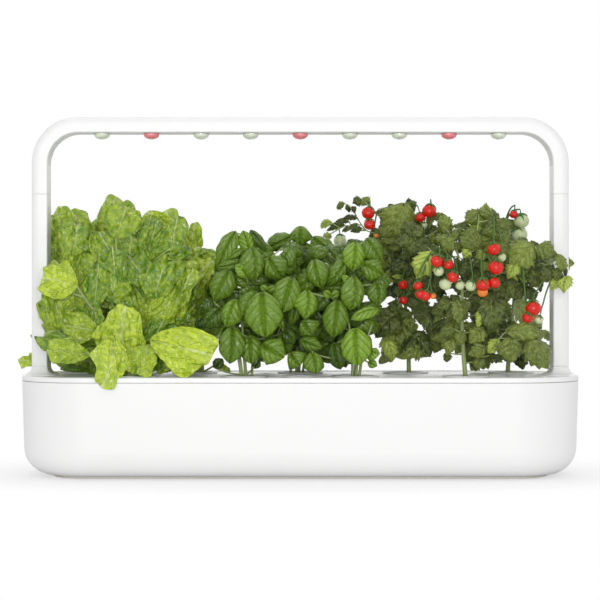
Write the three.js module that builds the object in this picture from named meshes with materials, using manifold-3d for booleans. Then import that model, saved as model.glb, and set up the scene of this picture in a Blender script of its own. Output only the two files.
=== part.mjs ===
// Countertop hydroponic garden: a white water tank with a tray lid, nine plants in lift-out cups,
// two plug-in arms and a lamp arch with nine lenses over the plants.
// Millimetres, +Z up. The origin is the centre of the footprint on the worktop, the front faces -Y.

import * as THREE from 'three';
import { mergeVertices } from 'three/addons/utils/BufferGeometryUtils.js';
import Module from 'manifold-3d';

const wasm = await Module();
wasm.setup();

// Whole garden
const gardenLength = 600;
const gardenDepth = 185;
const gardenHeight = 389;
const cornerRadius = 75;
const cornerSteps = 8;
const seatGap = 0.3;
const overrun = 1;

// Foot pad under the tank
const footHeight = 2.5;
const footRecess = 1;
const footInset = 33;

// Water tank
const tankTopZ = 102.6;
const tankWall = 3;
const tankDraft = 3;
const tankFillet = 28;
const tankFilletSteps = 5;

// Tray lid
const lidGroove = 0.6;
const lidTopZ = 108.3;
const lidEdgeRadius = 1.8;
const lidPlate = 2.4;
const trayInset = 9;
const trayDepth = 1.2;
const traySlope = 1;
const skirtDepth = 10;
const skirtWall = 2;
const skirtClearance = 0.5;
const ribWall = 1.6;
const ribDepth = 6;

// Arms and lamp arch share one section: rounded on the outer side, flat towards the plants
const archInset = 7.5;
const armThickness = 18;
const armDepth = 28;
const armOuterRadius = 8;
const armInnerRadius = 1.5;
const armCornerSteps = 3;
const armFootZ = 117;
const spigotThickness = 10;
const spigotDepth = 19;
const spigotRadius = 3.5;
const spigotLength = 14;
const spigotClearance = 0.3;
const socketFloor = 2.4;
const socketBossMargin = 3;

// Lamp arch
const archRise = 85;
const archCornerRadius = 51;
const archCornerSteps = 7;
const channelWidth = 20;
const channelDepth = 10;
const upperChannelWidth = 15;
const upperChannelDepth = 4.5;
const lampCoverThickness = 2;
const lampCoverTail = 1.5;

// Lamp lenses and boards
const lensCount = 9;
const lensEndInset = 83.2;
const lensRadius = 8.6;
const lensHeight = 6.2;
const lensStemRadius = 6;
const lensSteps = 12;
const boardThickness = 1.6;
const lampBoardMargin = 13;
const timerBoardLength = 60;
const timerChipLength = 14;
const timerChipWidth = 9;
const timerChipHeight = 1.5;

// Power socket and light button, in the back of the right leg of the arch
const powerSocketRise = 13;
const powerSocketRadius = 4.5;
const powerSocketLength = 11;
const powerSocketBore = 2.8;
const powerSocketFloor = 2;
const powerPinRadius = 1;
const buttonRise = 26;
const buttonRadius = 4;
const buttonLength = 7;
const buttonStandOut = 2;
const buttonTravel = 1.5;
const buttonClearance = 0.35;
const roundSteps = 16;

// Nine pods in two staggered rows
const podCount = 9;
const podEndInset = 64;
const podRimInset = 48.5;
const cupRadius = 22;
const cupFootRadius = 17.5;
const cupFlangeRadius = 25.5;
const cupFlange = 1.2;
const cupWall = 1.3;
const cupDepth = 60;
const cupDrainRadius = 6;
const cupClearance = 0.5;
const cupSlotWidth = 5;
const cupSlotHeight = 24;
const cupSlotRise = 6;
const cupSteps = 12;
const soilTopDrop = 4;
const soilDome = 1.5;
const soilSteps = 12;

// Filling hole with its float, front middle
const floatRimInset = 44.5;
const guideRadius = 15.5;
const guideFlangeRadius = 19;
const guideWall = 1.3;
const guideDepth = 58;
const guideLipRadius = 8;
const guideSlotWidth = 6;
const guideSlotHeight = 22;
const floatClearance = 0.7;
const floatHeight = 14;
const floatStemRadius = 2.5;
const floatStemHeight = 8;

// Plants
const plantCellGap = 1.2;
const armPlantClearance = 2;
const leafThickness = 1.8;
const lettuceHeight = 200;
const basilHeight = 180;
const tomatoHeight = 206;
const tomatoFruitRadius = 8.5;
const stemRadius = 4.5;
const twigRadius = 1.6;

// Places worked out from the sizes above
const tankBottomZ = footHeight;
const lidBottomZ = tankTopZ + lidGroove;
const trayZ = lidTopZ - trayDepth;
const lidUndersideZ = trayZ - lidPlate;
const archHalf = gardenLength / 2 - archInset;
const archInnerHalf = archHalf - armThickness;
const barUndersideZ = gardenHeight - armThickness;
const armTopZ = gardenHeight - archRise;
const archFootZ = armTopZ + seatGap;
const lensPitch = (gardenLength - 2 * lensEndInset) / (lensCount - 1);
const podPitch = (gardenLength - 2 * podEndInset) / (podCount - 1);
const podRowOffset = gardenDepth / 2 - podRimInset;
const floatY = floatRimInset - gardenDepth / 2;
const podTopZ = trayZ + seatGap + cupFlange;
const soilTopZ = podTopZ - soilTopDrop;

// Materials
const finish = (color, roughness) => new THREE.MeshStandardMaterial({ color, roughness, metalness: 0 });
const whitePlastic = () => finish(0xf4f4f3, 0.32);
const creamRubber = () => finish(0xe6e1d3, 0.8);
const coverPlastic = () => finish(0xe9eae9, 0.4);
const circuitGreen = () => finish(0x2e5d3a, 0.55);
const clearLens = () => finish(0xe3ebd5, 0.15);
const redLens = () => finish(0xd8434f, 0.18);
const blackPlastic = () => finish(0x1d1d1f, 0.45);
const soilBrown = () => finish(0x3a2a1e, 0.95);
const floatBlue = () => finish(0x6fb0d8, 0.4);
const leafFinish = {
  lettuce: () => finish(0x93b62a, 0.55),
  basil: () => finish(0x4c8a2a, 0.42),
  tomato: () => finish(0x3d5a2c, 0.6),
};

// Closed solids

function closedGeometry(points, triangles) {
  let volume = 0;
  for (const [a, b, c] of triangles) {
    volume += points[a].dot(new THREE.Vector3().crossVectors(points[b], points[c]));
  }
  const outward = volume > 0 ? triangles : triangles.map(([a, b, c]) => [a, c, b]);
  const geometry = new THREE.BufferGeometry().setFromPoints(points);
  geometry.setIndex(outward.flat());
  return geometry;
}

function solid(geometry) {
  const bare = geometry.clone();
  bare.deleteAttribute('normal');
  bare.deleteAttribute('uv');
  const merged = mergeVertices(bare);
  const corners = merged.index.array;
  const triVerts = [];
  for (let i = 0; i < corners.length; i += 3) {
    const [a, b, c] = corners.slice(i, i + 3);
    if (a !== b && b !== c && c !== a) triVerts.push(a, b, c);
  }
  return new wasm.Manifold(new wasm.Mesh({
    numProp: 3,
    vertProperties: Float32Array.from(merged.attributes.position.array),
    triVerts: Uint32Array.from(triVerts),
  }));
}

function piece(name, body, material) {
  const { numProp, vertProperties, triVerts } = body.getMesh();
  const positions = [];
  for (let i = 0; i < vertProperties.length; i += numProp) {
    positions.push(vertProperties[i], vertProperties[i + 1], vertProperties[i + 2]);
  }
  const geometry = new THREE.BufferGeometry();
  geometry.setAttribute('position', new THREE.Float32BufferAttribute(positions, 3));
  geometry.setIndex(Array.from(triVerts));
  const flat = geometry.toNonIndexed();
  flat.computeVertexNormals();
  const mesh = new THREE.Mesh(mergeVertices(flat), material);
  mesh.name = name;
  return mesh;
}

// A skin through rings that hold equally many points, closed by a cap of the given outline at each end
function loft(rings, capOutline) {
  const count = rings[0].length;
  const triangles = [];
  for (let r = 0; r + 1 < rings.length; r++) {
    for (let i = 0; i < count; i++) {
      const here = r * count + i;
      const next = r * count + (i + 1) % count;
      triangles.push([here, next, next + count], [here, next + count, here + count]);
    }
  }
  const last = (rings.length - 1) * count;
  for (const [a, b, c] of THREE.ShapeUtils.triangulateShape(capOutline, [])) {
    triangles.push([c, b, a], [last + a, last + b, last + c]);
  }
  return solid(closedGeometry(rings.flat(), triangles));
}

function roundedOutline(halfX, halfY, radii, steps) {
  const outline = [];
  const signs = [[1, 1], [-1, 1], [-1, -1], [1, -1]];
  signs.forEach(([sx, sy], corner) => {
    const radius = radii[corner];
    for (let step = 0; step <= steps; step++) {
      const angle = (corner + step / steps) * Math.PI / 2;
      outline.push(new THREE.Vector2(
        sx * (halfX - radius) + radius * Math.cos(angle),
        sy * (halfY - radius) + radius * Math.sin(angle),
      ));
    }
  });
  return outline;
}

const ringAt = (outline, z) => outline.map(({ x, y }) => new THREE.Vector3(x, y, z));

// The garden's plan, drawn in by an inset all round
function planOutline(inset) {
  const radius = cornerRadius - inset;
  return roundedOutline(
    gardenLength / 2 - inset, gardenDepth / 2 - inset, [radius, radius, radius, radius], cornerSteps);
}

const planLoft = (levels) => loft(
  levels.map(([inset, z]) => ringAt(planOutline(inset), z)), planOutline(levels[0][0]));

// A turned solid about an upright axis, from a profile of radius and height
function turned(profile, steps, x, y) {
  const points = profile.map(([radius, z]) => new THREE.Vector2(radius, z));
  const geometry = new THREE.LatheGeometry(points, steps);
  geometry.rotateX(Math.PI / 2);
  geometry.translate(x, y, 0);
  const body = solid(geometry);
  return body.volume() > 0 ? body : solid(flipped(geometry));
}

function flipped(geometry) {
  const turnedRound = geometry.clone();
  turnedRound.setIndex(Array.from(geometry.index.array).reverse());
  return turnedRound;
}

const plug = (radius, bottomZ, topZ, steps, x, y) => turned(
  [[0, bottomZ], [radius, bottomZ], [radius, topZ], [0, topZ]], steps, x, y);

function block(sizeX, sizeY, sizeZ, x, y, z) {
  const geometry = new THREE.BoxGeometry(sizeX, sizeY, sizeZ);
  geometry.translate(x, y, z);
  return solid(geometry);
}

// A turned solid that lies along Y, with its mouth at the back face of the arch
function turnedBackwards(profile, x, z) {
  const points = profile.map(([radius, y]) => new THREE.Vector2(radius, y));
  const geometry = new THREE.LatheGeometry(points, roundSteps);
  geometry.translate(x, 0, z);
  const body = solid(geometry);
  return body.volume() > 0 ? body : solid(flipped(geometry));
}

// Tank and foot

// How far the tank's outer face lies inside the plan at a height, with its draft and its bottom fillet
function tankLevels(wall) {
  const levels = [];
  const floorZ = tankBottomZ + wall;
  const radius = tankFillet - wall;
  const draftAt = (z) => tankDraft * (tankTopZ - z) / (tankTopZ - tankBottomZ);
  for (let step = 0; step <= tankFilletSteps; step++) {
    const angle = step / tankFilletSteps * Math.PI / 2;
    const z = floorZ + radius * (1 - Math.cos(angle));
    levels.push([wall + draftAt(z) + radius * (1 - Math.sin(angle)), z]);
  }
  levels.push([wall, tankTopZ]);
  return levels;
}

const padLoft = (grow, bottomZ, topZ) => planLoft([[footInset - grow, bottomZ], [footInset - grow, topZ]]);

function waterTank() {
  const shell = planLoft([...tankLevels(0), ...tankLevels(tankWall).reverse()]);
  const recess = padLoft(seatGap, tankBottomZ - overrun, tankBottomZ + footRecess);
  return shell.subtract(recess);
}

const footPad = () => padLoft(0, 0, tankBottomZ + footRecess - seatGap);

// Arms and arch: the section is measured from the outer face inwards

function armOutline(outset) {
  const halfThickness = armThickness / 2 + outset;
  const inner = armInnerRadius + outset;
  const outer = armOuterRadius + outset;
  const outline = roundedOutline(
    halfThickness, armDepth / 2 + outset, [inner, outer, outer, inner], armCornerSteps);
  return outline.map(({ x, y }) => new THREE.Vector2(x + armThickness / 2, y));
}

const armRing = (side, outset, z) => armOutline(outset).map(
  ({ x, y }) => new THREE.Vector3(side * (archHalf - x), y, z));

const armLoft = (side, levels) => loft(
  levels.map(([outset, z]) => armRing(side, outset, z)), armOutline(levels[0][0]));

function spigot(side, grow, bottomZ, topZ) {
  const radius = spigotRadius + grow;
  const outline = roundedOutline(spigotThickness / 2 + grow, spigotDepth / 2 + grow,
    [radius, radius, radius, radius], armCornerSteps);
  const centreX = side * (archHalf - armThickness / 2);
  const placed = outline.map(({ x, y }) => new THREE.Vector2(x + centreX, y));
  return loft([ringAt(placed, bottomZ), ringAt(placed, topZ)], placed);
}

const spigotSocket = (side, mouthZ) => spigot(
  side, spigotClearance, mouthZ - spigotLength - seatGap, mouthZ + overrun);

function arm(side) {
  const footZ = armFootZ + seatGap;
  const body = armLoft(side, [[0, footZ], [0, armTopZ]]);
  return body
    .add(spigot(side, 0, armFootZ - spigotLength, footZ + overrun))
    .subtract(spigotSocket(side, armTopZ));
}

// The arch's outer line, from the foot of one leg over both corners to the foot of the other
function archStations(footZ) {
  const leg = (side) => ({ x: side * archHalf, z: footZ, inX: -side, inZ: 0 });
  const corner = (side, angle) => ({
    x: side * (archHalf - archCornerRadius + archCornerRadius * Math.cos(angle)),
    z: gardenHeight - archCornerRadius + archCornerRadius * Math.sin(angle),
    inX: -side * Math.cos(angle),
    inZ: -Math.sin(angle),
  });
  const stations = [leg(-1)];
  for (let step = 0; step <= archCornerSteps; step++) {
    stations.push(corner(-1, step / archCornerSteps * Math.PI / 2));
  }
  for (let step = archCornerSteps; step >= 0; step--) {
    stations.push(corner(1, step / archCornerSteps * Math.PI / 2));
  }
  stations.push(leg(1));
  return stations;
}

function sweepAlongArch(outline, footZ) {
  const rings = archStations(footZ).map(({ x, z, inX, inZ }) => outline.map(
    (point) => new THREE.Vector3(x + inX * point.x, point.y, z + inZ * point.x)));
  return loft(rings, outline);
}

// A flat strip of the section, between two depths from the outer face
const stripOutline = (width, outerDepth, innerDepth) => [
  new THREE.Vector2(outerDepth, -width / 2),
  new THREE.Vector2(innerDepth, -width / 2),
  new THREE.Vector2(innerDepth, width / 2),
  new THREE.Vector2(outerDepth, width / 2),
];

const coverEndZ = gardenHeight - archCornerRadius - lampCoverTail;
const lampBoardLength = (lensCount - 1) * lensPitch + 2 * lampBoardMargin;
const upperChannelLength = lampBoardLength - 2 * seatGap;
const lampBoardTopZ = barUndersideZ + channelDepth - seatGap;
const upperChannelTopZ = barUndersideZ + channelDepth + upperChannelDepth;
const socketX = archHalf - armThickness / 2;
const archBackY = armDepth / 2;

function lampArch() {
  const skin = sweepAlongArch(armOutline(0), archFootZ);
  const channel = sweepAlongArch(
    stripOutline(channelWidth, armThickness - channelDepth, armThickness + overrun),
    coverEndZ - seatGap);
  const upperChannel = block(upperChannelLength, upperChannelWidth, upperChannelDepth + overrun,
    0, 0, upperChannelTopZ - (upperChannelDepth + overrun) / 2);
  const socketHole = turnedBackwards([
    [0, archBackY - powerSocketLength - seatGap],
    [powerSocketRadius + seatGap, archBackY - powerSocketLength - seatGap],
    [powerSocketRadius + seatGap, archBackY + overrun],
    [0, archBackY + overrun],
  ], socketX, archFootZ + powerSocketRise);
  const buttonHoleDepth = buttonLength - buttonStandOut + buttonTravel + seatGap;
  const buttonHole = turnedBackwards([
    [0, archBackY - buttonHoleDepth],
    [buttonRadius + buttonClearance, archBackY - buttonHoleDepth],
    [buttonRadius + buttonClearance, archBackY + overrun],
    [0, archBackY + overrun],
  ], socketX, archFootZ + buttonRise);
  return skin
    .add(spigot(-1, 0, armTopZ - spigotLength, archFootZ + overrun))
    .add(spigot(1, 0, armTopZ - spigotLength, archFootZ + overrun))
    .subtract(channel)
    .subtract(upperChannel)
    .subtract(socketHole)
    .subtract(buttonHole);
}

const lensX = (index) => (index - (lensCount - 1) / 2) * lensPitch;

function lampCover() {
  let cover = sweepAlongArch(
    stripOutline(channelWidth - 2 * seatGap, armThickness - lampCoverThickness, armThickness), coverEndZ);
  for (let index = 0; index < lensCount; index++) {
    cover = cover.subtract(plug(lensStemRadius + seatGap, barUndersideZ - overrun,
      barUndersideZ + lampCoverThickness + overrun, lensSteps, lensX(index), 0));
  }
  return cover;
}

const lampBoard = () => block(lampBoardLength, channelWidth - 2 * seatGap, boardThickness,
  0, 0, lampBoardTopZ - boardThickness / 2);

function timerBoard() {
  const topZ = upperChannelTopZ - seatGap;
  const board = block(timerBoardLength, upperChannelWidth - 2 * seatGap, boardThickness,
    0, 0, topZ - boardThickness / 2);
  const chip = block(timerChipLength, timerChipWidth, timerChipHeight + boardThickness / 2,
    0, 0, topZ - boardThickness / 2 - (timerChipHeight + boardThickness / 2) / 2);
  return board.add(chip);
}

// The lens tapers from its flange to a round nose, on a stem that reaches up to the lamp board
const lensTaperShares = [[1, 0], [0.86, 0.42], [0.55, 0.84], [0, 1]];

function lampLens(index) {
  const flangeZ = barUndersideZ - seatGap;
  const stemTopZ = lampBoardTopZ - boardThickness - seatGap;
  const nose = lensTaperShares.map(([wide, deep]) => [wide * lensRadius, flangeZ - deep * lensHeight]);
  return turned(
    [[0, stemTopZ], [lensStemRadius, stemTopZ], [lensStemRadius, flangeZ], ...nose],
    lensSteps, lensX(index), 0);
}

function powerSocket() {
  const backY = archBackY;
  const frontY = backY - powerSocketLength;
  const floorY = frontY + powerSocketFloor;
  return turnedBackwards([
    [0, frontY], [powerSocketRadius, frontY], [powerSocketRadius, backY], [powerSocketBore, backY],
    [powerSocketBore, floorY], [powerPinRadius, floorY], [powerPinRadius, backY - powerSocketFloor],
    [0, backY - powerSocketFloor],
  ], socketX, archFootZ + powerSocketRise);
}

function lightButton() {
  const faceY = archBackY + buttonStandOut;
  const crown = buttonRadius / 8;
  return turnedBackwards([
    [0, faceY - buttonLength], [buttonRadius, faceY - buttonLength], [buttonRadius, faceY - crown],
    [buttonRadius - crown, faceY], [0, faceY],
  ], socketX, archFootZ + buttonRise);
}

// Lid

const podX = (index) => (index - (podCount - 1) / 2) * podPitch;

const podPlace = (index) => ({ x: podX(index), y: index % 2 === 0 ? podRowOffset : -podRowOffset });

// A stiffening rib under the plate, across the lid half way between a pod and the next
function lidRib(index) {
  const halfLength = gardenDepth / 2 - tankWall - skirtClearance - skirtWall + overrun;
  const height = ribDepth + overrun;
  return block(ribWall, 2 * halfLength, height,
    (podX(index) + podX(index + 1)) / 2, 0, lidUndersideZ + overrun - height / 2);
}

// The foot of each arm flares into the tray, and its boss reaches down to the bottom of the socket
function armTower(side) {
  const flare = armFootZ - lidTopZ;
  const bossBottomZ = armFootZ - spigotLength - seatGap - socketFloor;
  const levels = [[socketBossMargin, bossBottomZ], [socketBossMargin, trayZ - overrun],
    [flare, trayZ - overrun], [flare, lidTopZ]];
  for (let step = armCornerSteps - 1; step >= 0; step--) {
    const angle = step / armCornerSteps * Math.PI / 2;
    levels.push([flare * (1 - Math.cos(angle)), armFootZ - flare * Math.sin(angle)]);
  }
  const withinPlan = planLoft([[lidEdgeRadius / 2, bossBottomZ - overrun],
    [lidEdgeRadius / 2, armFootZ + overrun]]);
  return armLoft(side, levels).intersect(withinPlan);
}

function trayLid() {
  const skirtOuter = tankWall + skirtClearance;
  const skirtInner = skirtOuter + skirtWall;
  const skirtEndZ = lidBottomZ - skirtDepth;
  const bevel = lidEdgeRadius * (1 - Math.SQRT1_2);
  let lid = planLoft([
    [trayInset + traySlope, trayZ], [trayInset, lidTopZ], [lidEdgeRadius, lidTopZ],
    [bevel, lidTopZ - bevel], [0, lidTopZ - lidEdgeRadius], [0, lidBottomZ], [skirtOuter, lidBottomZ],
    [skirtOuter, skirtEndZ], [skirtInner, skirtEndZ], [skirtInner, lidUndersideZ],
  ]);
  for (let index = 0; index + 1 < podCount; index++) lid = lid.add(lidRib(index));
  for (const side of [-1, 1]) lid = lid.add(armTower(side)).subtract(spigotSocket(side, armFootZ));
  for (let index = 0; index < podCount; index++) {
    const { x, y } = podPlace(index);
    lid = lid.subtract(plug(cupRadius + cupClearance, skirtEndZ, lidTopZ + overrun, cupSteps, x, y));
  }
  return lid.subtract(plug(guideRadius + cupClearance, skirtEndZ, lidTopZ + overrun, cupSteps, 0, floatY));
}

// Pods

function podCup(index) {
  const { x, y } = podPlace(index);
  const footZ = podTopZ - cupDepth;
  const flangeZ = podTopZ - cupFlange;
  const cup = turned([
    [cupDrainRadius, footZ], [cupFootRadius, footZ], [cupRadius, flangeZ], [cupFlangeRadius, flangeZ],
    [cupFlangeRadius, podTopZ], [cupRadius - cupWall, podTopZ], [cupFootRadius - cupWall, footZ + cupWall],
    [cupDrainRadius, footZ + cupWall], [cupDrainRadius, footZ],
  ], cupSteps, x, y);
  const slotZ = footZ + cupSlotRise + cupSlotHeight / 2;
  return cup.subtract(block(cupSlotWidth, 2 * cupFlangeRadius, cupSlotHeight, x, y, slotZ));
}

function soilPlug(index) {
  const { x, y } = podPlace(index);
  const footZ = podTopZ - cupDepth + cupWall + seatGap;
  const innerRadiusAt = (z) => cupFootRadius - cupWall
    + (cupRadius - cupFootRadius) * (z - footZ + seatGap) / (cupDepth - cupWall);
  const shoulderZ = soilTopZ - soilDome;
  return turned([
    [0, footZ], [innerRadiusAt(footZ) - cupClearance, footZ],
    [innerRadiusAt(shoulderZ) - cupClearance, shoulderZ],
    [2 * stemRadius, soilTopZ], [0, soilTopZ],
  ], soilSteps, x, y);
}

// Filling hole and float

function floatGuide() {
  const footZ = podTopZ - guideDepth;
  const flangeZ = podTopZ - cupFlange;
  const guide = turned([
    [guideLipRadius, footZ], [guideRadius, footZ], [guideRadius, flangeZ], [guideFlangeRadius, flangeZ],
    [guideFlangeRadius, podTopZ], [guideRadius - guideWall, podTopZ],
    [guideRadius - guideWall, footZ + guideWall], [guideLipRadius, footZ + guideWall], [guideLipRadius, footZ],
  ], cupSteps, 0, floatY);
  const slotZ = footZ + 2 * guideWall + guideSlotHeight / 2;
  return guide.subtract(block(2 * guideFlangeRadius, guideSlotWidth, guideSlotHeight, 0, floatY, slotZ));
}

function waterFloat() {
  const radius = guideRadius - guideWall - floatClearance;
  const bottomZ = podTopZ - guideDepth + guideWall + seatGap;
  const topZ = bottomZ + floatHeight;
  const edge = floatClearance;
  return turned([
    [0, bottomZ], [radius - edge, bottomZ], [radius, bottomZ + edge], [radius, topZ - edge],
    [radius - edge, topZ], [floatStemRadius, topZ], [floatStemRadius, topZ + floatStemHeight],
    [0, topZ + floatStemHeight],
  ], cupSteps, 0, floatY);
}

// Plants: each grows inside its own upright cell of the tray, so that it lifts out past its neighbours

// Where the borders between cells start, half way between the rows, and end at the rim, counted in pitches
const backBorderShares = [[-3, -3], [-1, -1], [1.25, 0.5], [3, 3]];
const frontBorderShares = [[-2, -1.4], [0, 0], [2, 2]];

function plantCell(index) {
  const back = index % 2 === 0;
  const borders = back ? backBorderShares : frontBorderShares;
  const order = Math.floor(index / 2);
  const sign = back ? 1 : -1;
  const splitY = sign * plantCellGap / 2;
  const rimY = sign * (gardenDepth / 2 - seatGap);
  const endX = gardenLength / 2 - seatGap;
  const cell = [];
  for (const side of [-1, 1]) {
    const border = borders[side < 0 ? order - 1 : order];
    const points = [];
    if (border) {
      const shift = -side * plantCellGap / 2;
      points.push([border[0] * podPitch + shift, splitY], [border[1] * podPitch + shift, rimY]);
    } else {
      // The end cells are cut back where an arm stands, and pass in front of it or behind it
      const cutX = archInnerHalf - armDepth * 2.5;
      const cornerY = armDepth / 2 + armPlantClearance;
      const slope = (cornerY - plantCellGap / 2) / (archInnerHalf - cutX);
      const cutY = plantCellGap / 2 + slope * (endX - cutX);
      points.push([side * cutX, splitY], [side * endX, sign * cutY], [side * endX, rimY]);
    }
    cell.push(...(side < 0 ? points.reverse() : points));
  }
  return cell.map(([x, y]) => new THREE.Vector2(x, y));
}

// How far a plant has from its stem to the border of its cell, in one direction
function roomTowards(direction, cell, stem) {
  let room = Infinity;
  cell.forEach((corner, i) => {
    const next = cell[(i + 1) % cell.length];
    const normal = new THREE.Vector2(next.y - corner.y, corner.x - next.x);
    const away = normal.dot(new THREE.Vector2(corner.x - stem.x, corner.y - stem.y));
    const towards = normal.dot(direction);
    if (away * towards > 0) room = Math.min(room, away / towards);
  });
  return room;
}

// Draws a leaf or fruit with its twig in towards the stem, in plan, as far as it takes to stay in the cell
function fitInCell(growth, cell, stem) {
  let share = 1;
  for (const point of growth.flatMap(([rings]) => rings.flat())) {
    const offset = new THREE.Vector2(point.x - stem.x, point.y - stem.y);
    const distance = offset.length();
    if (distance > 0) share = Math.min(share, roomTowards(offset.normalize(), cell, stem) / distance);
  }
  return growth.map(([rings, cap]) => [rings.map((ring) => ring.map((point) => new THREE.Vector3(
    stem.x + (point.x - stem.x) * share, stem.y + (point.y - stem.y) * share, point.z))), cap]);
}

// The biggest leaves of each pod: stalk x, y and z, tip x, y and z, and width. The places are counted from
// the middle of the pod in pod pitches, the heights and the width from the soil in heights of the plant.
const leafPlaceShares = [
  [
    [0.39, -0.4, 0.31, -0.01, -0.61, 0.64, 0.3], [-0.07, -0.15, 0.63, -0.62, -0.24, 0.91, 0.28],
    [0.42, -0.32, 0.6, 0.07, -0.49, 0.81, 0.25], [0.15, 0.34, 0.14, -0.45, 0.53, 0.42, 0.26],
    [0.06, 0.29, 0.42, 0.33, 0.44, 0.76, 0.27], [-0.4, 0.18, 0.48, -0.8, 0.27, 0.79, 0.21],
  ],
  [
    [0.32, -0.42, 0.21, 1.51, -0.64, 0.14, 0.27], [-0.28, -0.12, 0.06, -0.15, -0.19, 0.38, 0.29],
    [-0.29, -0.51, 0.24, -0.47, -0.78, 0.07, 0.24], [0.62, 0.26, 0.32, 0.8, 0.41, 0.6, 0.2],
    [-0.2, 0.32, 0.42, -0.46, 0.49, 0.7, 0.2], [0.07, 0.37, 0.48, -0.05, 0.58, 0.73, 0.18],
  ],
  [
    [-0.23, -0.26, 0.48, -0.82, -0.41, 0.88, 0.32], [-0.16, -0.35, 0.42, 0.35, -0.54, 0.63, 0.21],
    [-0.16, -0.4, 0.23, 0.13, -0.61, 0.48, 0.18], [-0.12, 0.37, 0.14, -0.62, 0.58, 0.42, 0.24],
    [-0.02, 0.34, 0.17, 0.55, 0.53, 0.42, 0.23], [-0.02, 0.23, 0.5, -0.31, 0.36, 0.79, 0.25],
  ],
  [
    [0.32, -0.45, 0.52, 0.38, -0.69, 0.24, 0.24], [0.85, -0.23, 0.6, 0.66, -0.36, 0.39, 0.18],
    [0.13, -0.09, 0.78, 0.2, -0.16, 0.56, 0.18], [-0.2, -0.34, 0.31, -0.25, -0.53, 0.09, 0.17],
    [-0.27, 0.04, 0.65, -0.58, 0.07, 0.46, 0.17], [0.41, 0.15, 0.72, 0.7, 0.24, 0.58, 0.17],
  ],
  [
    [0.26, -0.26, 0.85, 0.69, -0.41, 0.71, 0.14], [0.01, -0.21, 0.93, 0, -0.32, 0.8, 0.17],
    [-0.2, 0.4, 0.47, -0.59, 0.61, 0.25, 0.17], [0.19, 0.4, 0.42, 0.67, 0.61, 0.2, 0.2],
    [0, 0.29, 0.72, -0.29, 0.44, 0.47, 0.16], [0.19, 0.29, 0.75, 0.77, 0.44, 0.56, 0.18],
  ],
  [
    [-0.03, -0.45, 0.31, 0, -0.69, 0.08, 0.19], [-0.32, -0.18, 0.47, -0.41, -0.27, 0.23, 0.14],
    [-0.03, -0.12, 0.61, -0.07, -0.19, 0.39, 0.14], [-0.86, -0.18, 0.6, -0.91, -0.27, 0.4, 0.17],
    [-0.75, 0.15, 0.75, -0.6, 0.24, 0.56, 0.14], [0.01, 0.1, 0.81, -0.04, 0.15, 0.64, 0.16],
  ],
  [
    [-0.03, -0.32, 0.93, -0.36, -0.49, 0.73, 0.17], [-0.17, -0.37, 0.35, -0.62, -0.58, 0.21, 0.18],
    [0.06, -0.4, 0.23, 0.45, -0.61, 0.11, 0.2], [-0.08, 0.37, 0.46, -0.36, 0.58, 0.26, 0.17],
    [0.11, 0.35, 0.41, 0.7, 0.54, 0.24, 0.17], [0.01, 0.29, 0.68, -0.27, 0.44, 0.49, 0.17],
  ],
  [
    [1.05, -0.34, 0.22, 1.45, -0.53, 0.06, 0.13], [1.21, 0.04, 0.71, 0.8, 0.07, 0.57, 0.17],
    [0.43, -0.01, 0.44, 0.46, -0.02, 0.24, 0.14], [0.52, 0.15, 0.84, 0.58, 0.24, 0.71, 0.18],
    [-0.61, 0.15, 0.66, -0.93, 0.24, 0.52, 0.13], [0.68, -0.18, 0.26, 1.44, -0.27, 0.24, 0.08],
  ],
  [
    [0.19, -0.43, 0.51, 0.4, -0.66, 0.45, 0.12],
    [-0.06, 0.37, 0.46, -0.52, 0.58, 0.28, 0.17], [0.13, 0.35, 0.41, 0.64, 0.54, 0.24, 0.17],
    [-0.08, 0.26, 0.73, -0.44, 0.41, 0.52, 0.17], [0.12, 0.26, 0.68, 0.62, 0.41, 0.52, 0.17],
  ],
];

// The middles of the biggest fruit of each tomato pod, counted in the same way
const fruitPlaceShares = { 6: [[0.4, -0.54, 0.89], [-0.74, -0.54, 0.87]],
  7: [[0.53, -0.24, 0.58], [-0.53, -0.2, 0.61], [1.25, 0.24, 0.37]],
  8: [[0.3, -0.5, 0.83], [0.09, -0.58, 0.73]] };

const leafStationShares = [0, 0.4, 0.75, 1];
const leafWidthShares = [0.24, 0.9, 0.85, 0.2];
const leafLean = new THREE.Vector3(0, 1, 0.25);
const leafCap = [[-1, 1], [0, -1], [1, 1], [0, 0]].map(([x, y]) => new THREE.Vector2(x, y));

// A leaf along a bent rib from its stalk to its tip, with its face to one long side of the garden, and the
// twig that rises from the stem to it and ends inside the blade
function leafParts({ stalk, tip, width, arch, cup, root, facing }) {
  const along = tip.clone().sub(stalk);
  const towards = new THREE.Vector3(leafLean.x, facing * leafLean.y, leafLean.z);
  const side = along.clone().cross(towards).normalize();
  const face = side.clone().cross(along).normalize();
  const bend = stalk.clone().lerp(tip, 0.5).addScaledVector(face, 2 * arch * along.length());
  const curve = new THREE.QuadraticBezierCurve3(stalk, bend, tip);
  const blade = leafStationShares.map((share, station) => {
    const centre = curve.getPoint(share);
    const up = side.clone().cross(curve.getTangent(share)).normalize();
    const half = width / 2 * leafWidthShares[station];
    const edge = (sign) => centre.clone().addScaledVector(side, sign * half).addScaledVector(up, -cup * half);
    return [edge(-1), centre.clone().addScaledVector(up, -leafThickness), edge(1),
      centre.clone().addScaledVector(up, leafThickness / 2)];
  });
  return [[blade, leafCap], rod(root, curve.getPoint(twigReachShare), twigRadius, twigRadius, twigSides)];
}

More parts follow.
